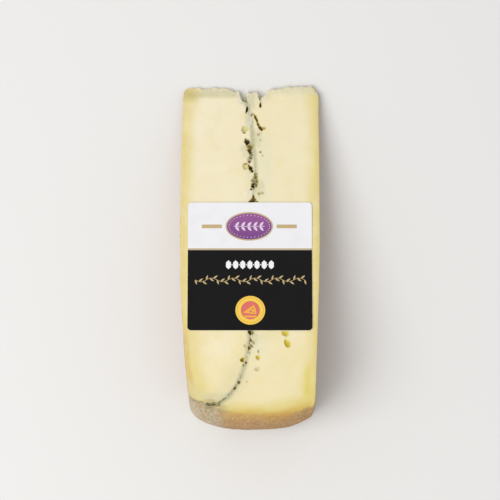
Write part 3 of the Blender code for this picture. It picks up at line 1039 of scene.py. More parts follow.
class Finish(Wiring):
    """One material."""

    def __init__(self, name, roughness=0.5, specular=0.5):
        self.material = bpy.data.materials.new(name)
        self.material.use_nodes = True
        self.tree = self.material.node_tree
        self.shader = self.tree.nodes["Principled BSDF"]
        self.shader.inputs["Roughness"].default_value = roughness
        self.shader.inputs["Specular IOR Level"].default_value = specular
        self.coordinates = self.add("ShaderNodeTexCoord", out="Object")

    def mark(self, name):
        return self.add("ShaderNodeAttribute", out="Fac", attribute_name=name)

    def noise(self, millimetres, detail=2.0, stretch=None):
        """Noise from about 0.25 to 0.75, with lumps of that size."""
        source = self.coordinates
        if stretch:
            source = self.add("ShaderNodeMapping", {"Vector": source, "Scale": stretch})
        sockets = {"Vector": source, "Scale": 1 / (millimetres * MM), "Detail": detail}
        return self.add("ShaderNodeTexNoise", sockets, "Fac")

    def band(self, value, low, high, to_low=0.0, to_high=1.0):
        """The value moved from one range to another, smoothly and held inside it."""
        sockets = enumerate((value, low, high, to_low, to_high))
        return self.add("ShaderNodeMapRange", sockets, interpolation_type="SMOOTHSTEP")

    def cloud(self, millimetres, detail, low, high, to_low=0.0, to_high=1.0, z_scale=1.0):
        """Noise moved to a range. A Z scale under 1 draws its lumps out upwards."""
        stretch = None if z_scale == 1.0 else (1.0, 1.0, z_scale)
        return self.band(self.noise(millimetres, detail, stretch), low, high, to_low, to_high)

    def over(self, under, colour, mask):
        """One colour laid over another where the mask is 1."""
        under, colour = (
            tone if isinstance(tone, bpy.types.NodeSocket) else (*tone, 1.0) for tone in (under, colour))
        return self.add("ShaderNodeMix", {"Factor": mask, 6: under, 7: colour}, 2, data_type="RGBA")

    def surface(self, colour, roughness=None, height=None):
        """Put the worked out colour, roughness and height in millimetres on the shader."""
        self.fill(self.shader.inputs["Base Color"], colour)
        if roughness is not None:
            self.fill(self.shader.inputs["Roughness"], roughness)
        if height is not None:
            bump = self.add("ShaderNodeBump", {"Distance": MM, "Height": height})
            self.fill(self.shader.inputs["Normal"], bump)
        return self.material


def eye_tones(made, colour, looks):
    """Lay the tones of the eyes over a colour: clean to sooty, and golden or grey between."""
    soot = made.plus(made.mark("soot"), made.cloud(0.5, 2.0, 0.3, 0.7, -0.06, 0.06))
    golden = made.over(looks.eye_pale, looks.eye_gold, made.band(soot, 0.08, 0.36))
    golden = made.over(golden, looks.eye_brown, made.band(soot, 0.36, 0.66))
    grey = made.over(looks.eye_haze, looks.eye_grey, made.band(soot, 0.10, 0.62))
    tone = made.over(golden, grey, made.mark("ashy"))
    tone = made.over(tone, looks.eye_dark, made.band(soot, 0.60, 0.95))
    return made.over(colour, tone, made.mark("hollow"))


def paste_colour(made, looks):
    """Ivory paste, milky and buttery in places, under the tones that its marks ask for."""
    colour = made.over(looks.paste, looks.paste_low, made.mark("lower"))
    colour = made.over(colour, looks.milky, made.times(made.cloud(16.0, 3.0, 0.45, 0.68), 0.30))
    colour = made.over(colour, looks.edge, made.times(made.cloud(11.0, 3.0, 0.5, 0.72), 0.28))
    layers = (
        ("milky", looks.milky, 0.45, 5.0),
        ("right", looks.paste_right, 0.35, None),
        ("edge", looks.edge, 0.85, 7.0),
        ("strip", looks.strip, 0.90, 5.0),
        ("warm", looks.warm, 0.80, 8.0),
        ("amber", looks.amber, 0.85, 5.0),
        ("wet", looks.wet, 0.80, 5.0),
        ("ledge", looks.ledge, 0.85, 3.0),
        ("corner", looks.corner, 0.65, 3.0),
        ("smoke", looks.smoke, 0.45, 4.0),
        ("tinge", looks.tinge, 0.38, 4.0),
        # Painted shade along the torn tip's rounded edge
        ("dry_and_tip_shade", looks.dry_and_tip_shade, 0.70, 3.0),
        ("haze", looks.haze, 0.60, 2.0),
        ("halo", looks.ash_haze, 0.80, 1.4),
        ("stain", looks.stain, 0.70, 0.9),
        ("bloom", looks.bloom, 0.85, 1.0),
    )
    for name, tone, strength, size in layers:
        mask = made.times(made.mark(name), strength)
        if size:
            mask = made.times(mask, made.cloud(size, 3.0, 0.25, 0.6, 0.55, 1.0))
        colour = made.over(colour, tone, mask)
    return colour


def rind_colour(made, looks, fall):
    """Mottled washed rind with painted shade towards the lower cut and a painted highlight line along its
    bottom edge, grey and chalky at the left of the heel.
    """
    rind = looks.rind
    mottling = (
        (looks.rind_pink, made.cloud(17.0, 3.0, 0.40, 0.62, 0.0, 0.80)),
        (looks.rind_pale, made.cloud(5.0, 3.0, 0.42, 0.66, 0.0, 0.30)),
        (looks.rind_dark, made.cloud(1.7, 4.0, 0.45, 0.72, 0.0, 0.40, z_scale=0.7)),
        (looks.rind_pale, made.cloud(0.8, 2.0, 0.48, 0.62, 0.0, 0.80, z_scale=0.45)),
        (looks.rind_dark, made.cloud(1.0, 3.0, 0.52, 0.64, 0.0, 0.62, z_scale=0.5)),
        (looks.rind_rim, made.band(fall, 0.0, 0.14, 0.55, 0.0)),
        # Painted shade: the rind darkens towards the lower cut
        (looks.rind_painted_shade, made.band(fall, 0.05, 1.0, 0.0, 0.75)),
        # Painted highlight: a thin pale line along the bottom edge of the rind
        (looks.rind_pale, made.band(fall, 0.96, 0.99, 0.0, 0.22)),
    )
    for tone, mask in mottling:
        rind = made.over(rind, tone, mask)
    wander = made.cloud(6.0, 5.0, 0.3, 0.7, -0.16, 0.22)
    greyish, chalky = (
        made.band(made.plus(made.mark(name), wander), 0.15, 0.85) for name in ("grey", "chalk"))
    grey = made.times(greyish, made.cloud(4.0, 3.0, 0.3, 0.55, 0.6, 1.0))
    rind = made.over(rind, looks.rind_grey, grey)
    bloom = made.cloud(1.5, 4.0, 0.42, 0.66, 0.0, 0.60, z_scale=0.14)
    rind = made.over(rind, looks.rind_bloom, made.times(bloom, grey))
    chalk = made.times(chalky, made.cloud(2.4, 4.0, 0.32, 0.62, 0.15, 0.75))
    rind = made.over(rind, looks.rind_chalk, chalk)
    flecks = made.cloud(0.8, 5.0, 0.50, 0.66, z_scale=0.45)
    flecks = made.times(flecks, made.band(fall, 0.05, 0.50, 0.78, 0.25))
    return made.over(rind, looks.ash_line, made.times(flecks, greyish))


def curd_finish(looks):
    """Paste, rind and eyes in one material, each where its marks say."""
    made = Finish("cheese_curd", roughness=0.5, specular=0.35)
    made.shader.inputs["Subsurface Weight"].default_value = 0.12
    made.shader.inputs["Subsurface Radius"].default_value = (0.0024, 0.0016, 0.0007)
    made.shader.inputs["Subsurface Scale"].default_value = 1.0

    crust = made.mark("crust")
    fall = made.mark("fall")
    colour = made.over(paste_colour(made, looks), rind_colour(made, looks, fall), crust)
    rim = made.times(made.mark("rim"), made.band(fall, 0.03, 0.25, 0.40, 0.0))
    colour = made.over(colour, looks.rim, rim)
    sooty = made.times(made.mark("sooty"), made.cloud(0.9, 3.0, 0.42, 0.6, 0.1, 0.9))
    colour = made.over(colour, looks.ash_dark, sooty)
    smudge = made.times(made.mark("smudge"), made.cloud(2.5, 2.0, 0.3, 0.6, 0.20, 0.38))
    colour = made.over(colour, looks.stain, smudge)
    colour = eye_tones(made, colour, looks)

    grain = made.times(made.noise(0.45, 3.0), 0.035)
    drag = made.times(made.noise(1.1, 2.0, stretch=(0.12, 1.0, 1.0)), 0.03)
    pores = made.times(made.noise(1.0, 4.0), 0.32)
    fuzz = made.times(made.noise(0.4, 3.0), 0.12)
    torn = made.times(made.times(made.noise(1.2, 5.0), 0.55), made.mark("dry_and_tip_shade"))
    height = made.plus(made.plus(grain, drag), made.times(made.plus(pores, fuzz), crust))
    return made.surface(colour, made.band(crust, 0.0, 1.0, 0.46, 0.82), made.plus(height, torn))


def ash_finish(looks):
    """Grainy ash: pale grey where it is thin, dark grey green where it is thick, black in the eyes."""
    made = Finish("vegetable_ash", roughness=0.85, specular=0.2)
    patchy = made.plus(made.cloud(2.0, 3.0, 0.3, 0.7, -0.16, 0.16), made.mark("thick"))
    patchy = made.plus(made.cloud(0.45, 2.0, 0.3, 0.7, -0.12, 0.12), patchy)
    colour = made.over(looks.ash_light, looks.ash_line, made.band(patchy, 0.05, 0.65))
    colour = made.over(colour, looks.ash_dark, made.band(patchy, 0.5, 1.0))
    colour = made.over(colour, looks.bloom, made.times(made.mark("bloom"), 0.7))
    colour = eye_tones(made, colour, looks)
    colour = made.over(colour, looks.rind_grey, made.times(made.mark("rind"), 0.85))
    return made.surface(colour, height=made.times(made.noise(0.3, 3.0), 0.15))


def crumb_finish(looks):
    """Loose crumbs of paste."""
    made = Finish("paste_crumbs", roughness=0.6, specular=0.3)
    return made.surface(made.over(looks.paste, looks.dry_and_tip_shade, made.cloud(1.5, 2.0, 0.4, 0.6)))


def speck_finish(looks):
    """Loose grains of ash."""
    made = Finish("ash_specks", roughness=0.9, specular=0.15)
    return made.surface(made.over(looks.eye_dark, looks.ash_line, made.cloud(0.8, 2.0, 0.5, 0.7)))


def card_finish(name, tone, roughness=0.42, specular=0.4):
    """Smooth coated card, with a faint mottle and fibre."""
    made = Finish(name, roughness, specular)
    darker = [part * 0.94 for part in tone]
    colour = made.over(tone, darker, made.cloud(6.0, 4.0, 0.4, 0.7, 0.0, 0.5))
    gloss = made.cloud(9.0, 2.0, 0.3, 0.7, roughness - 0.05, roughness + 0.07)
    return made.surface(colour, gloss, made.times(made.noise(0.35, 2.0), 0.012))


def plaque_finish(looks):
    """Violet ink that deepens towards the heel end of the label."""
    made = Finish("violet_ink", roughness=0.4, specular=0.35)
    middle = on_label(np.array([[0.0, PLAQUE_PLACE[1], 0.0]]))[0, 1]
    share = made.band(made.axis(made.coordinates, "Y"), middle - PLAQUE_HIGH, middle + PLAQUE_HIGH)
    colour = made.over(looks.violet_low, looks.violet_top, share)
    return made.surface(made.over(colour, looks.violet_low, made.cloud(1.6, 2.0, 0.5, 0.8, 0.0, 0.3)))


# Geometry Nodes

class Growth(Wiring):
    """A tree of Geometry Nodes that makes one geometry from named inputs and a material."""

    def __init__(self, name, *inputs):
        self.tree = bpy.data.node_groups.new(name, "GeometryNodeTree")
        self.tree.interface.new_socket("Geometry", in_out="OUTPUT", socket_type="NodeSocketGeometry")
        for label, kind in (*inputs, ("Material", "Material")):
            self.tree.interface.new_socket(label, in_out="INPUT", socket_type=f"NodeSocket{kind}")
        self.entry = self.tree.nodes.new("NodeGroupInput")

    def given(self, name):
        return self.entry.outputs[name]

    def vector(self, x=0.0, y=0.0, z=0.0):
        return self.add("ShaderNodeCombineXYZ", enumerate((x, y, z)))

    def on_points(self, points, shape, **sockets):
        """The mesh of the object given as shape, on each point."""
        mesh = self.add("GeometryNodeObjectInfo", {"Object": self.given(shape)}, "Geometry",
                        transform_space="ORIGINAL")
        return self.add("GeometryNodeInstanceOnPoints", {"Points": points, "Instance": mesh, **sockets})

    def joined(self, *parts):
        return self.add("GeometryNodeJoinGeometry", [(0, part) for part in parts])

    def end(self, geometry):
        """Realize the instances, set their material and send them out. Returns the tree."""
        real = self.add("GeometryNodeRealizeInstances", {0: geometry})
        painted = self.add("GeometryNodeSetMaterial", {"Geometry": real, "Material": self.given("Material")})
        self.fill(self.tree.nodes.new("NodeGroupOutput").inputs[0], painted)
        return self.tree


def scatter_tree():
    """Grains of random size and turn on each point of the mesh that comes in."""
    made = Growth("Scatter grains", ("Geometry", "Geometry"), ("Grain", "Object"), ("Smallest", "Float"),
                  ("Largest", "Float"), ("Seed", "Int"))
    seed = made.given("Seed")
    limits = {2: made.given("Smallest"), 3: made.given("Largest"), "Seed": seed}
    size = made.add("FunctionNodeRandomValue", limits, 1, data_type="FLOAT")
    full_turn = {"Max": (2 * math.pi,) * 3, "Seed": seed}
    turn = made.add("FunctionNodeRandomValue", full_turn, data_type="FLOAT_VECTOR")
    return made.end(made.on_points(made.given("Geometry"), "Grain", Rotation=turn, Scale=size))


def row_tree():
    """A row of large shapes with a small one between each two."""
    made = Growth("Row of shapes", ("Count", "Int"), ("Pitch", "Float"), ("Large", "Object"),
                  ("Small", "Object"))
    pitch = made.given("Pitch")
    rows = []
    for shape, fewer in (("Large", 0), ("Small", 1)):
        count = made.maths("SUBTRACT", made.given("Count"), fewer)
        reach = made.times(made.maths("SUBTRACT", count, 1.0), pitch)
        sockets = {"Count": count, "Start Location": made.vector(made.times(reach, -0.5)),
                   "Offset": made.vector(pitch)}
        rows.append(made.on_points(made.add("GeometryNodeMeshLine", sockets, mode="OFFSET"), shape))
    return made.end(made.joined(*rows))


def oval_tree():
    """Shapes spaced round an oval."""
    made = Growth("Oval of shapes", ("Count", "Int"), ("Half Width", "Float"), ("Half Height", "Float"),
                  ("Shape", "Object"))
    circle = {"Vertices": made.given("Count"), "Radius": 1.0}
    size = made.vector(made.given("Half Width"), made.given("Half Height"), 1.0)
    ring = {"Geometry": made.add("GeometryNodeMeshCircle", circle, fill_type="NONE"), "Scale": size}
    return made.end(made.on_points(made.add("GeometryNodeTransform", ring), "Shape"))


def vine_tree():
    """A waving stem with leaves on alternate sides, along X about the origin."""
    made = Growth("Leafy vine", ("Length", "Float"), ("Swing", "Float"), ("Wave", "Float"), ("Stem", "Float"),
                  ("Leaf Pitch", "Float"), ("Leaf Turn", "Float"), ("Leaf", "Object"))
    half = made.times(made.given("Length"), 0.5)
    ends = {"Count": VINE_POINTS, "Start Location": made.vector(made.times(half, -1.0)),
            "Offset": made.vector(half)}
    line = made.add("GeometryNodeMeshLine", ends, mode="END_POINTS")
    along = made.maths("DIVIDE", made.axis(made.add("GeometryNodeInputPosition"), 0), made.given("Wave"))
    swing = made.times(made.maths("SINE", made.times(along, 2 * math.pi)), made.given("Swing"))
    moved = made.add("GeometryNodeSetPosition", {"Geometry": line, "Offset": made.vector(0.0, swing)})
    curve = made.add("GeometryNodeMeshToCurve", {0: moved})

    circle = {"Resolution": STEM_SIDES, "Radius": made.times(made.given("Stem"), 0.5)}
    profile = made.add("GeometryNodeCurvePrimitiveCircle", circle, mode="RADIUS")
    tube = {"Curve": curve, "Profile Curve": profile, "Fill Caps": True}
    pressed = {"Geometry": made.add("GeometryNodeCurveToMesh", tube), "Scale": (1.0, 1.0, STEM_PRESSED)}

    spacing = {"Curve": curve, "Length": made.given("Leaf Pitch")}
    buds = made.add("GeometryNodeResampleCurve", spacing, mode="LENGTH")
    tangent = made.add("GeometryNodeInputTangent")
    odd = made.maths("MODULO", made.add("GeometryNodeInputIndex"), 2.0)
    side = made.maths("SUBTRACT", made.times(odd, 2.0), 1.0)
    heading = made.maths("ARCTAN2", made.axis(tangent, 1), made.axis(tangent, 0))
    angle = made.plus(heading, made.times(side, made.given("Leaf Turn")))
    leaves = made.on_points(buds, "Leaf", Rotation=made.vector(0.0, 0.0, angle))
    return made.end(made.joined(made.add("GeometryNodeTransform", pressed), leaves))


def grow(name, tree, values, points=()):
    """A plain mesh object made by a node tree with the given input values."""
    mesh = bpy.data.meshes.new(name)
    mesh.from_pydata(np.asarray(points).tolist(), [], [])
    made = new_object(name, mesh)
    grower = made.modifiers.new(tree.name, "NODES")
    grower.node_group = tree
    for item in tree.interface.items_tree:
        if item.in_out == "INPUT" and item.name in values:
            grower[item.identifier] = values[item.name]
    bpy.context.view_layer.update()
    seen = made.evaluated_get(bpy.context.evaluated_depsgraph_get())
    result = bpy.data.meshes.new_from_object(seen)
    made.modifiers.clear()
    made.data = result
    made.data.name = name
    bpy.data.meshes.remove(mesh)
    return made


def drop(*helpers):
    for helper in helpers:
        bpy.data.objects.remove(helper, do_unlink=True)


# Shapes of the label

# The plaque: its middle and half sizes, its ring of dots, its sprig and the bars beside it
PLAQUE_PLACE = (-0.0003, 0.0198)
PLAQUE_WIDE = 0.0113
PLAQUE_HIGH = 0.0071
PLAQUE_RIM = 0.0006
DOT_RADIUS = 0.00022
DOT_COUNT = 34
DOT_INSET = 0.0016
SPRIG_STEM = (0.0074, 0.00014, 0.0001)
SPRIG_LEAF = (0.0030, 0.00125)
SPRIG_TURN = 52
SPRIG_PAIRS = 5
SPRIG_START = -0.0066
SPRIG_PITCH = 0.0029
BAR_BOX = (0.0048, 0.0009, 0.0003)
BAR_AWAY = 0.0066

# The row of lozenges, each with a half width, a shoulder and a point, and a dot between each two
LOZENGE = (0.00118, 0.0011, 0.0022)
LOZENGE_DOT = 0.00030
LOZENGE_COUNT = 7
LOZENGE_PITCH = 0.0034
LOZENGE_PLACE = (0.0, 0.0007)

# The vine
VINE_SIZES = {"Length": 0.0520, "Swing": 0.0009, "Wave": 0.0104, "Stem": 0.00022, "Leaf Pitch": 0.0018}
VINE_LEAF = (0.0025, 0.00082)
VINE_LEAF_TURN = 48
VINE_POINTS = 240
VINE_PLACE = (0.0, -0.0068)
STEM_SIDES = 6
STEM_PRESSED = 0.25

# The sticker: its rings as shares of its radius, and the wedge on its board
STICKER_PLACE = (0.0002, -0.0218)
STICKER_RINGS = (0.90, 0.86, 0.64)
WEDGE_TIP = (-0.0036, -0.0012)
WEDGE_LENGTH = 0.0064
WEDGE_TURNS = (-0.02, 0.10)
WEDGE_HOLES = ((0.00055, (0.0002, -0.0006)), (0.00042, (0.0012, 0.0007)), (0.00034, (0.0017, -0.0012)))
WEDGE_BOARD = (0.0029, 0.00042, 0.0003)
WEDGE_BOARD_PLACE = (0.0, -0.0031)


def on_label(points):
    """Points of the label as points in space."""
    points = np.asarray(points, float)
    return place(points[:, 0] / MM, LABEL_RADIUS - points[:, 1] / MM, 1.0, points[:, 2] / MM)


def print_on_label(piece, middle, layer):
    """Lay a flat piece in its place on the label, a number of inks above the card, and hand it over."""
    mesh = piece.data
    points = np.zeros(len(mesh.vertices) * 3)
    mesh.vertices.foreach_get("co", points)
    points = points.reshape(-1, 3) + (*middle, LABEL_HIGH + INK * layer)
    mesh.vertices.foreach_set("co", on_label(points).ravel())
    mesh.update()
    hand_over(piece, "label")


def arc(radius, start, end, steps, middle=(0.0, 0.0)):
    """Points along an arc, in turns of a circle."""
    turns = np.linspace(start, end, steps) * 2 * math.pi
    return np.stack([middle[0] + radius * np.cos(turns), middle[1] + radius * np.sin(turns)], axis=1)


def oval(half_wide, half_high, steps=ARC_STEPS):
    turns = np.linspace(0, 2 * math.pi, steps, endpoint=False)
    return np.stack([half_wide * np.cos(turns), half_high * np.sin(turns)], axis=1)


def disc_outline(radius, steps=ARC_STEPS):
    return oval(radius, radius, steps)


def rounded_box(half_wide, half_high, radius, steps=7):
    corners = []
    for side_x, side_y, first in ((1, 1, 0), (-1, 1, 1), (-1, -1, 2), (1, -1, 3)):
        middle = (side_x * (half_wide - radius), side_y * (half_high - radius))
        corners.append(arc(radius, first / 4, (first + 1) / 4, steps, middle))
    return np.vstack(corners)


def leaf_outline(length, width, steps=9):
    """A pointed leaf that starts at the origin and runs along X."""
    share = np.linspace(0.0, 1.0, steps)
    swell = width / 2 * np.sin(np.pi * share ** 0.8)
    upper = np.stack([share * length, swell], axis=1)
    lower = np.stack([share * length, -swell], axis=1)[-2:0:-1]
    return np.vstack([lower[::-1], upper[::-1]])


def loop_edges(count, first=0):
    """The edges of a ring of points, by number from the first."""
    return [(first + index, first + (index + 1) % count) for index in range(count)]


def flat_triangles(spots, edges):
    """Points and triangles of a flat sheet over the spots, with the edges kept."""
    result = delaunay_2d_cdt([tuple(spot / MM) for spot in spots], edges, [], 1, WELD, False)
    return np.array([tuple(point) for point in result[0]]) * MM, np.array(result[2])


def sheet_faces(faces, count):
    """The faces of a thin closed sheet: its top, its bottom, whose points come first, and the wall."""
    top = [[index + count for index in face] for face in faces]
    bottom = [face[::-1] for face in faces]
    sides = {(first, second) for face in faces for first, second in zip(face, face[1:] + face[:1])}
    walls = [[first, second, second + count, first + count]
             for first, second in sorted(sides) if (second, first) not in sides]
    return top + bottom + walls


def plate(name, outline, material, thick=INK, holes=()):
    """A thin closed plate with an outline and holes, lying on the plane of X and Y."""
    rings = [np.asarray(ring) for ring in (outline, *holes)]
    rings = [ring if ring_area(ring) > 0 else ring[::-1] for ring in rings]
    edges = []
    for ring in rings:
        edges += loop_edges(len(ring), len(edges))
    points, triangles = flat_triangles(np.vstack(rings), edges)
    middles = points[triangles].mean(axis=1)
    kept = inside(middles, rings[0])
    for hole in rings[1:]:
        kept &= ~inside(middles, hole)
    count = len(points)
    solid = np.vstack([np.column_stack([points, np.full(count, height)]) for height in (0.0, thick)])
    faces = sheet_faces(triangles[kept].tolist(), count)
    return make_object(name, solid, faces, [material], sharp=30.0)


def joined(name, pieces):
    """One object of several, under one name."""
    chosen = {"selected_objects": pieces, "selected_editable_objects": pieces}
    with bpy.context.temp_override(active_object=pieces[0], object=pieces[0], **chosen):
        bpy.ops.object.join()
    pieces[0].name = name
    pieces[0].data.name = name
    return pieces[0]


def card_curl(points):
    """How far the card's corners stand up."""
    from_side = LABEL_WIDTH / 2 - np.abs(points[:, 0])
    from_end = LABEL_LENGTH / 2 - np.abs(points[:, 1])
    return CORNER_CURL * close_by(np.hypot(from_side, from_end), CURL_REACH) ** 2


def card(looks):
    """The card itself: a white field, a rule and a black field in one thin sheet."""
    outline = rounded_box(LABEL_WIDTH / 2, LABEL_LENGTH / 2, LABEL_CORNER)
    count = len(outline)
    columns, rows = (np.arange(-size / 2 + LABEL_STEP, size / 2 - LABEL_STEP / 2, LABEL_STEP)
                     for size in (LABEL_WIDTH, LABEL_LENGTH))
    grid = np.stack(np.meshgrid(columns, rows), axis=-1).reshape(-1, 2)
    to_rule = np.minimum(np.abs(grid[:, 1] - RULE_TOP), np.abs(grid[:, 1] - RULE_BOTTOM))
    grid = grid[to_rule > LABEL_STEP / 4]
    ends = [(side * LABEL_WIDTH / 2, height) for height in (RULE_TOP, RULE_BOTTOM) for side in (-1, 1)]
    edges = loop_edges(count) + [(count, count + 1), (count + 2, count + 3)]
    points, triangles = flat_triangles(np.vstack([outline, ends, grid]), edges)
    curl = card_curl(points)
    sheet = np.vstack([on_label(np.column_stack([points, side + curl])) for side in (LABEL_LOW, LABEL_HIGH)])
    faces = sheet_faces(triangles.tolist(), len(points))
    heights = points[triangles, 1].mean(axis=1)
    picks = np.zeros(len(faces))
    picks[:len(heights)] = np.where(heights > RULE_TOP, 0, np.where(heights > RULE_BOTTOM, 1, 2))
    materials = [card_finish("white_card", looks.white), card_finish("gold_rule", looks.rule),
                 card_finish("black_card", looks.black, 0.5, 0.2)]
    return make_object("label_card", sheet, faces, materials, picks=picks, sharp=40.0)


# What a user would change

def tint(name, description, *shade):
    return bpy.props.FloatVectorProperty(
        name=name, description=description, subtype="COLOR", size=3, min=0.0, max=1.0, default=linear(shade))


def size_of(name, description, metres):
    return bpy.props.FloatProperty(
        name=name, description=description, default=metres, min=0.0, unit="LENGTH", subtype="DISTANCE")


class CheeseLooks(bpy.types.PropertyGroup):
    edge_round: size_of("Edge rounding", "How far the rind's edges are rounded", 0.0007)
    paste: tint("Paste", "Paste near the tip", 244, 232, 196)
    paste_low: tint("Paste near the heel", "Paste below the label", 241, 226, 178)
    smoke: tint("Smoky paste", "Paste dulled a little, far out from the lower ash", 218, 209, 170)
    paste_right: tint("Paste on the right", "Slightly yellower paste right of the ash", 240, 228, 183)
    milky: tint("Milky patches", "Paler patches in the paste", 248, 240, 213)
    edge: tint("Edge", "Yellow band along the rind", 230, 213, 137)
    strip: tint("Edge strip", "Tan strip next to the rind", 215, 186, 112)
    warm: tint("Warm band", "Yellow paste near the heel", 225, 207, 128)
    amber: tint("Amber band", "Deep yellow paste under the heel's rind", 213, 181, 92)
    rim: tint("Amber rim", "Deeper amber where the paste meets the heel's rind", 197, 147, 60)
    wet: tint("Wet strip", "Translucent yellow strip on the lower right", 222, 207, 98)
    ledge: tint("Torn ledge", "Dry paste on the ledge at the tip", 216, 207, 160)
    corner: tint("Dry corner", "Deeper yellow at the tip's left corner", 208, 190, 108)
    tinge: tint("Ash tinge", "Paste that the ash has tinged", 222, 224, 196)
    rind: tint("Rind", "Main colour of the rind", 188, 144, 87)
    rind_dark: tint("Dark rind", "Brown mottling of the rind", 154, 106, 60)
    rind_pink: tint("Pink rind", "Pinkish parts of the rind", 185, 135, 97)
    rind_pale: tint("Pale rind", "Bloom on the rind", 212, 178, 124)
    rind_grey: tint("Grey rind", "Greyish rind near the ash", 180, 161, 128)
    rind_bloom: tint("Bloom on the rind", "Whitish bloom on the greyish rind", 222, 204, 178)
    rind_chalk: tint("Chalky rind", "Pale pinkish bloom at the left corner of the heel", 206, 188, 164)
    rind_rim: tint("Rind's rim", "Yellower rind next to the cut", 204, 168, 102)
    # Painted shade: the rind darkens towards the lower cut, where less light falls
    rind_painted_shade: tint("Shaded rind", "Duller rind near the lower cut", 152, 119, 83)
    ash_light: tint("Pale ash", "Thin ash smeared near the tip", 201, 197, 165)
    ash_haze: tint("Ash haze", "Paste that the ash beside it has greyed", 182, 177, 138)
    ash_line: tint("Ash", "Middle tone of the ash", 124, 119, 86)
    ash_dark: tint("Dark ash", "Thick ash", 70, 62, 32)
    bloom: tint("Pale mould", "Whitish mould beside the ash", 226, 222, 206)
    haze: tint("Dulled paste", "Paste dulled by the ash near it", 210, 204, 168)
    # Painted shade along the torn tip's rounded edge; the crumbs also take this greyer tone in their mottle
    stain: tint("Stain", "Brown stain round groups of eyes", 148, 132, 92)
    dry_and_tip_shade: tint("Dry paste", "Greyer paste along the torn tip", 222, 217, 186)
    eye_pale: tint("Pale eye", "Clean eyes", 222, 210, 148)
    eye_gold: tint("Golden eye", "Eyes with old whey in them", 208, 188, 44)
    eye_brown: tint("Brown eye", "Eyes stained by ash and whey", 130, 104, 30)
    eye_haze: tint("Hazy eye", "Clean eyes near the ash", 206, 198, 160)
    eye_grey: tint("Grey eye", "Eyes dusted with ash", 140, 132, 98)
    eye_dark: tint("Dark eye", "Eyes full of ash", 62, 47, 4)
    speck_small: size_of("Smallest speck", "Smallest grain of loose ash", 0.00006)
    speck_large: size_of("Largest speck", "Largest grain of loose ash", 0.00015)
    crumb_small: size_of("Smallest crumb", "Smallest crumb of paste", 0.00012)
    crumb_large: size_of("Largest crumb", "Largest crumb of paste", 0.00042)


class LabelLooks(bpy.types.PropertyGroup):
    white: tint("White field", "Upper field of the card", 241, 240, 243)
    black: tint("Black field", "Lower field of the card", 10, 8, 9)
    rule: tint("Rule", "Line between the fields", 196, 180, 148)
    violet_top: tint("Violet", "Plaque towards the tip", 154, 90, 152)
    violet_low: tint("Deep violet", "Plaque towards the heel", 122, 70, 136)
    gold: tint("Gold", "Bars, rim and vine", 200, 176, 126)
    print_white: tint("White print", "Lozenges on the black field", 246, 245, 245)
    print_pink: tint("Pink print", "Sprig and dots on the plaque", 232, 208, 230)
    seal_yellow: tint("Sticker", "Rim of the round sticker", 246, 208, 82)
    seal_coral: tint("Sticker centre", "Middle of the round sticker", 222, 112, 100)
    seal_amber: tint("Sticker motif", "Wedge on the round sticker", 242, 178, 70)
    seal_radius: size_of("Sticker radius", "Outer radius of the round sticker", 0.00705)


class StudioLooks(bpy.types.PropertyGroup):
    floor: tint("Floor", "Colour of the floor", 232, 231, 229)
    sky: bpy.props.FloatProperty(name="Fill", description="Strength of the even light", default=0.60, min=0.0)
    key: bpy.props.FloatProperty(
        name="Key", description="Power of the large soft light", default=15.0, min=0.0, unit="POWER")


# Operators

class CHEESE_OT_curd(bpy.types.Operator):
    """Make the two pieces of curd with their eyes, rind and broken tip"""
    bl_idname = "cheese.curd"
    bl_label = "Curd"

    def execute(self, context):
        looks = context.scene.cheese_looks
        outline, ash_line = slice_lines()
        lines = (outline, ash_line, rind_line(outline), outline[is_torn(outline)])
        material = curd_finish(looks)
        for side, (loop, is_outer) in zip(("left", "right"), half_loops(outline, ash_line)):
            points, faces, marks = half_mesh(loop, is_outer, lines, looks.edge_round)
            hand_over(make_object(f"paste_{side}", points, faces, [material], marks), "curd", f"curd_{side}")
        return {"FINISHED"}


class CHEESE_OT_ash(bpy.types.Operator):
    """Make the sheet of ash between the pieces of curd"""
    bl_idname = "cheese.ash"
    bl_label = "Ash"

    def execute(self, context):
        points, faces, marks = ash_mesh(slice_lines())
        piece = make_object("ash_sheet", points, faces, [ash_finish(context.scene.cheese_looks)], marks)
        hand_over(piece, "ash", "ash_layer")
        return {"FINISHED"}


def grain_shape():
    """One lumpy flat grain, about one across."""
    bm = bmesh.new()
    bmesh.ops.create_icosphere(bm, subdivisions=1, radius=1.0)
    for vert in bm.verts:
        vert.co *= 0.6 + 0.7 * math.sin(vert.index * 2.3) ** 2
        vert.co.z *= GRAIN_FLATNESS
    mesh = bpy.data.meshes.new("grain")
    bm.to_mesh(mesh)
    bm.free()
    return new_object("grain", mesh)


def strew(name, slot, tree, flat, lift, values):
    """Put grains at places across and out on the upper cut, lifted off it, and hand them over."""
    points = place(flat[:, 0], flat[:, 1], 1.0, upper_cut(flat)[0] + lift)
    hand_over(grow(name, tree, values, points), slot)


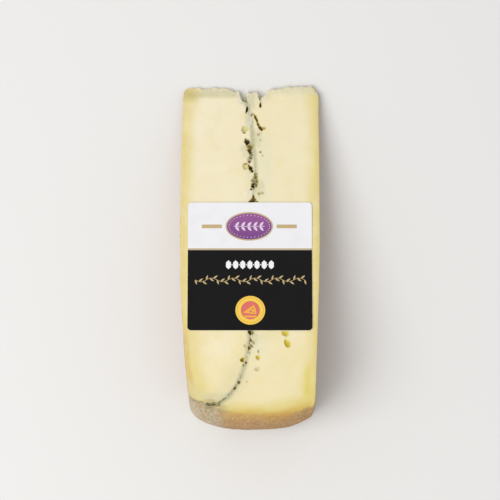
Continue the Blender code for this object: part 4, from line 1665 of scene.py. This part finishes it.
class CHEESE_OT_grains(bpy.types.Operator):
    """Strew loose grains of ash along the layer and crumbs of paste along the torn edges"""
    bl_idname = "cheese.grains"
    bl_label = "Specks and crumbs"

    def execute(self, context):
        looks = context.scene.cheese_looks
        outline, ash_line = slice_lines()
        draw = np.random.default_rng(GRAIN_SEED)
        tree = scatter_tree()
        grain = grain_shape()

        out = ash_line[:, 1]
        shown = np.any([(out > start) & (out < end) for start, end in GRAIN_RUNS], axis=0)
        picks = draw.choice(np.flatnonzero(shown[:-4]), SPECK_COUNT)
        spread = draw.normal(0.1, 0.45, len(picks))[:, None]
        flat = ash_line[picks] + side_normals(ash_line)[picks] * spread
        flat += draw.uniform(-0.3, 0.3, flat.shape)
        flat = flat[(flat[:, 1] > TIP_ZONE) & (flat[:, 0] > GRAIN_LEFT)]
        values = {"Grain": grain, "Smallest": looks.speck_small, "Largest": looks.speck_large,
                  "Seed": 3, "Material": speck_finish(looks)}
        strew("ash_grains", "ash", tree, flat, SPECK_LIFT, values)

        tip = outline[is_torn(outline)]
        picks = draw.choice(len(tip), CRUMB_COUNT)
        aside, inwards = draw.uniform(-0.4, 0.4, CRUMB_COUNT), draw.uniform(0.5, 3.2, CRUMB_COUNT)
        flat = tip[picks] + np.stack([aside, inwards], axis=1)
        flat = flat[inside(flat, outline) & (distance_to(flat, tip) > 0.5)]
        values = {"Grain": grain, "Smallest": looks.crumb_small, "Largest": looks.crumb_large,
                  "Seed": 5, "Material": crumb_finish(looks)}
        strew("paste_crumbs", "curd", tree, flat, CRUMB_LIFT, values)
        drop(grain)
        return {"FINISHED"}


class CHEESE_OT_card(bpy.types.Operator):
    """Make the label's card with its white and black fields"""
    bl_idname = "cheese.card"
    bl_label = "Label card"

    def execute(self, context):
        hand_over(card(context.scene.label_looks), "label", "label")
        return {"FINISHED"}


class CHEESE_OT_plaque(bpy.types.Operator):
    """Make the violet oval with its sprig, its ring of dots and the gold bars beside it"""
    bl_idname = "cheese.plaque"
    bl_label = "Oval plaque"

    def execute(self, context):
        looks = context.scene.label_looks
        gold = card_finish("gold_ink", looks.gold, 0.4)
        pink = card_finish("pink_ink", looks.print_pink)
        wide, high = PLAQUE_WIDE, PLAQUE_HIGH
        rim = plate("plaque_rim", oval(wide, high), gold, holes=[oval(wide - PLAQUE_RIM, high - PLAQUE_RIM)])
        print_on_label(rim, PLAQUE_PLACE, 2)
        inner = oval(wide - PLAQUE_RIM / 2, high - PLAQUE_RIM / 2)
        print_on_label(plate("plaque_field", inner, plaque_finish(looks)), PLAQUE_PLACE, 1)

        dot = plate("dot", disc_outline(DOT_RADIUS, 10), pink)
        values = {"Count": DOT_COUNT, "Half Width": wide - DOT_INSET, "Half Height": high - DOT_INSET,
                  "Shape": dot, "Material": pink}
        print_on_label(grow("plaque_dots", oval_tree(), values), PLAQUE_PLACE, 3)
        drop(dot)

        parts = [plate("stem", rounded_box(*SPRIG_STEM, 3), pink)]
        for step in range(SPRIG_PAIRS):
            for side in (1, -1):
                x, y = turned(*leaf_outline(*SPRIG_LEAF).T, side * SPRIG_TURN)
                leaf = np.stack([x + SPRIG_START + step * SPRIG_PITCH, y], axis=1)
                parts.append(plate("leaf", leaf, pink))
        print_on_label(joined("plaque_sprig", parts), PLAQUE_PLACE, 3)

        bars = [plate("bar", rounded_box(*BAR_BOX, 4) + (side * (wide + BAR_AWAY), 0.0), gold)
                for side in (-1, 1)]
        print_on_label(joined("plaque_bars", bars), PLAQUE_PLACE, 1)
        return {"FINISHED"}


class CHEESE_OT_borders(bpy.types.Operator):
    """Make the row of lozenges and the gold vine on the black field"""
    bl_idname = "cheese.borders"
    bl_label = "Lozenges and vine"

    def execute(self, context):
        looks = context.scene.label_looks
        white = card_finish("white_ink", looks.print_white)
        gold = card_finish("vine_ink", looks.gold, 0.4)
        half, shoulder, point = LOZENGE
        upper = [(half, shoulder), (0.0, point), (-half, shoulder)]
        lozenge = plate("lozenge", upper + [(-x, -y) for x, y in upper], white)
        dot = plate("dot", disc_outline(LOZENGE_DOT, 12), white)
        values = {"Count": LOZENGE_COUNT, "Pitch": LOZENGE_PITCH, "Large": lozenge, "Small": dot,
                  "Material": white}
        print_on_label(grow("lozenge_row", row_tree(), values), LOZENGE_PLACE, 1)

        leaf = plate("leaf", leaf_outline(*VINE_LEAF), gold)
        values = {**VINE_SIZES, "Leaf Turn": math.radians(VINE_LEAF_TURN), "Leaf": leaf, "Material": gold}
        print_on_label(grow("gold_vine", vine_tree(), values), VINE_PLACE, 2)
        drop(lozenge, dot, leaf)
        return {"FINISHED"}


class CHEESE_OT_sticker(bpy.types.Operator):
    """Make the round yellow sticker with a wedge of cheese on it"""
    bl_idname = "cheese.sticker"
    bl_label = "Round sticker"

    def execute(self, context):
        looks = context.scene.label_looks
        radius = looks.seal_radius
        yellow = card_finish("sticker_yellow", looks.seal_yellow)
        coral = card_finish("sticker_coral", looks.seal_coral)
        amber = card_finish("sticker_amber", looks.seal_amber)
        disc = plate("sticker_disc", disc_outline(radius), yellow, thick=INK * 3)
        print_on_label(disc, STICKER_PLACE, 1)
        outer, inner, middle = (disc_outline(radius * share) for share in STICKER_RINGS)
        print_on_label(plate("sticker_ring", outer, amber, holes=[inner]), STICKER_PLACE, 5)
        print_on_label(plate("sticker_middle", middle, coral), STICKER_PLACE, 5)

        wedge = np.vstack([[WEDGE_TIP], arc(WEDGE_LENGTH, *WEDGE_TURNS, 14, WEDGE_TIP)])
        holes = [disc_outline(size, 14) + spot for size, spot in WEDGE_HOLES]
        motif = [plate("sticker_wedge", wedge, amber, holes=holes),
                 plate("board", rounded_box(*WEDGE_BOARD, 4) + WEDGE_BOARD_PLACE, amber)]
        print_on_label(joined("sticker_wedge", motif), STICKER_PLACE, 7)
        return {"FINISHED"}


class CHEESE_OT_studio(bpy.types.Operator):
    """Make the pale floor, the soft lights and the camera above the slice"""
    bl_idname = "cheese.studio"
    bl_label = "Studio"

    def execute(self, context):
        scene = context.scene
        looks = scene.studio_looks
        scene.view_settings.view_transform = "Standard"
        finish = Finish("pale_floor", roughness=0.8, specular=0.2)
        darker = [part * 0.9 for part in looks.floor]
        finish.surface(finish.over(looks.floor, darker, finish.cloud(400.0, 2.0, 0.3, 0.7, 0.0, 0.06)))
        corners = [(x * FLOOR_HALF, y * FLOOR_HALF, -FLOOR_DROP)
                   for x, y in ((-1, -1), (1, -1), (1, 1), (-1, 1))]
        floor = make_object("floor", corners, [[0, 1, 2, 3]], [finish.material])

        world = bpy.data.worlds.new("soft_sky")
        world.use_nodes = True
        sky = world.node_tree.nodes["Background"]
        sky.inputs["Color"].default_value = (1.0, 1.0, 1.0, 1.0)
        sky.inputs["Strength"].default_value = looks.sky
        scene.world = world

        light = bpy.data.lights.new("soft_box", "AREA")
        light.energy = looks.key
        light.size = LAMP_SIZE
        lamp = new_object("soft_box", light)
        lamp.location = LAMP_PLACE
        lamp.rotation_mode = "QUATERNION"
        lamp.rotation_quaternion = lamp.location.normalized().to_track_quat("Z", "Y")
        lamp.visible_camera = False

        view = bpy.data.cameras.new("overhead")
        view.sensor_width = SENSOR
        view.lens = SENSOR * CAMERA_HEIGHT / VIEW_WIDTH
        camera = new_object("overhead", view)
        camera.location = (CAMERA_X, CAMERA_Y, CAMERA_HEIGHT)
        scene.camera = camera
        return {"FINISHED"}


OPERATORS = (
    CHEESE_OT_curd, CHEESE_OT_ash, CHEESE_OT_grains, CHEESE_OT_card, CHEESE_OT_plaque, CHEESE_OT_borders,
    CHEESE_OT_sticker, CHEESE_OT_studio)


class CHEESE_PT_pieces(bpy.types.Panel):
    """Pieces of the cheese wedge and its studio"""
    bl_idname = "CHEESE_PT_pieces"
    bl_label = "Cheese wedge"
    bl_space_type = "VIEW_3D"
    bl_region_type = "UI"
    bl_category = "Cheese"

    def draw(self, context):
        for operator in OPERATORS:
            self.layout.operator(operator.bl_idname)
        for group in (context.scene.cheese_looks, context.scene.label_looks, context.scene.studio_looks):
            box = self.layout.box()
            for key in group.bl_rna.properties.keys():
                if key not in ("rna_type", "name"):
                    box.prop(group, key)


CLASSES = (CheeseLooks, LabelLooks, StudioLooks, *OPERATORS, CHEESE_PT_pieces)


def register():
    for item in CLASSES:
        bpy.utils.register_class(item)
    bpy.types.Scene.cheese_looks = bpy.props.PointerProperty(type=CheeseLooks)
    bpy.types.Scene.label_looks = bpy.props.PointerProperty(type=LabelLooks)
    bpy.types.Scene.studio_looks = bpy.props.PointerProperty(type=StudioLooks)


def unregister():
    del bpy.types.Scene.cheese_looks
    del bpy.types.Scene.label_looks
    del bpy.types.Scene.studio_looks
    for item in reversed(CLASSES):
        bpy.utils.unregister_class(item)


def main():
    register()
    bpy.ops.cheese.curd()
    bpy.ops.cheese.ash()
    bpy.ops.cheese.grains()
    bpy.ops.cheese.card()
    bpy.ops.cheese.plaque()
    bpy.ops.cheese.borders()
    bpy.ops.cheese.sticker()
    bpy.ops.cheese.studio()


if __name__ == "__main__":
    main()
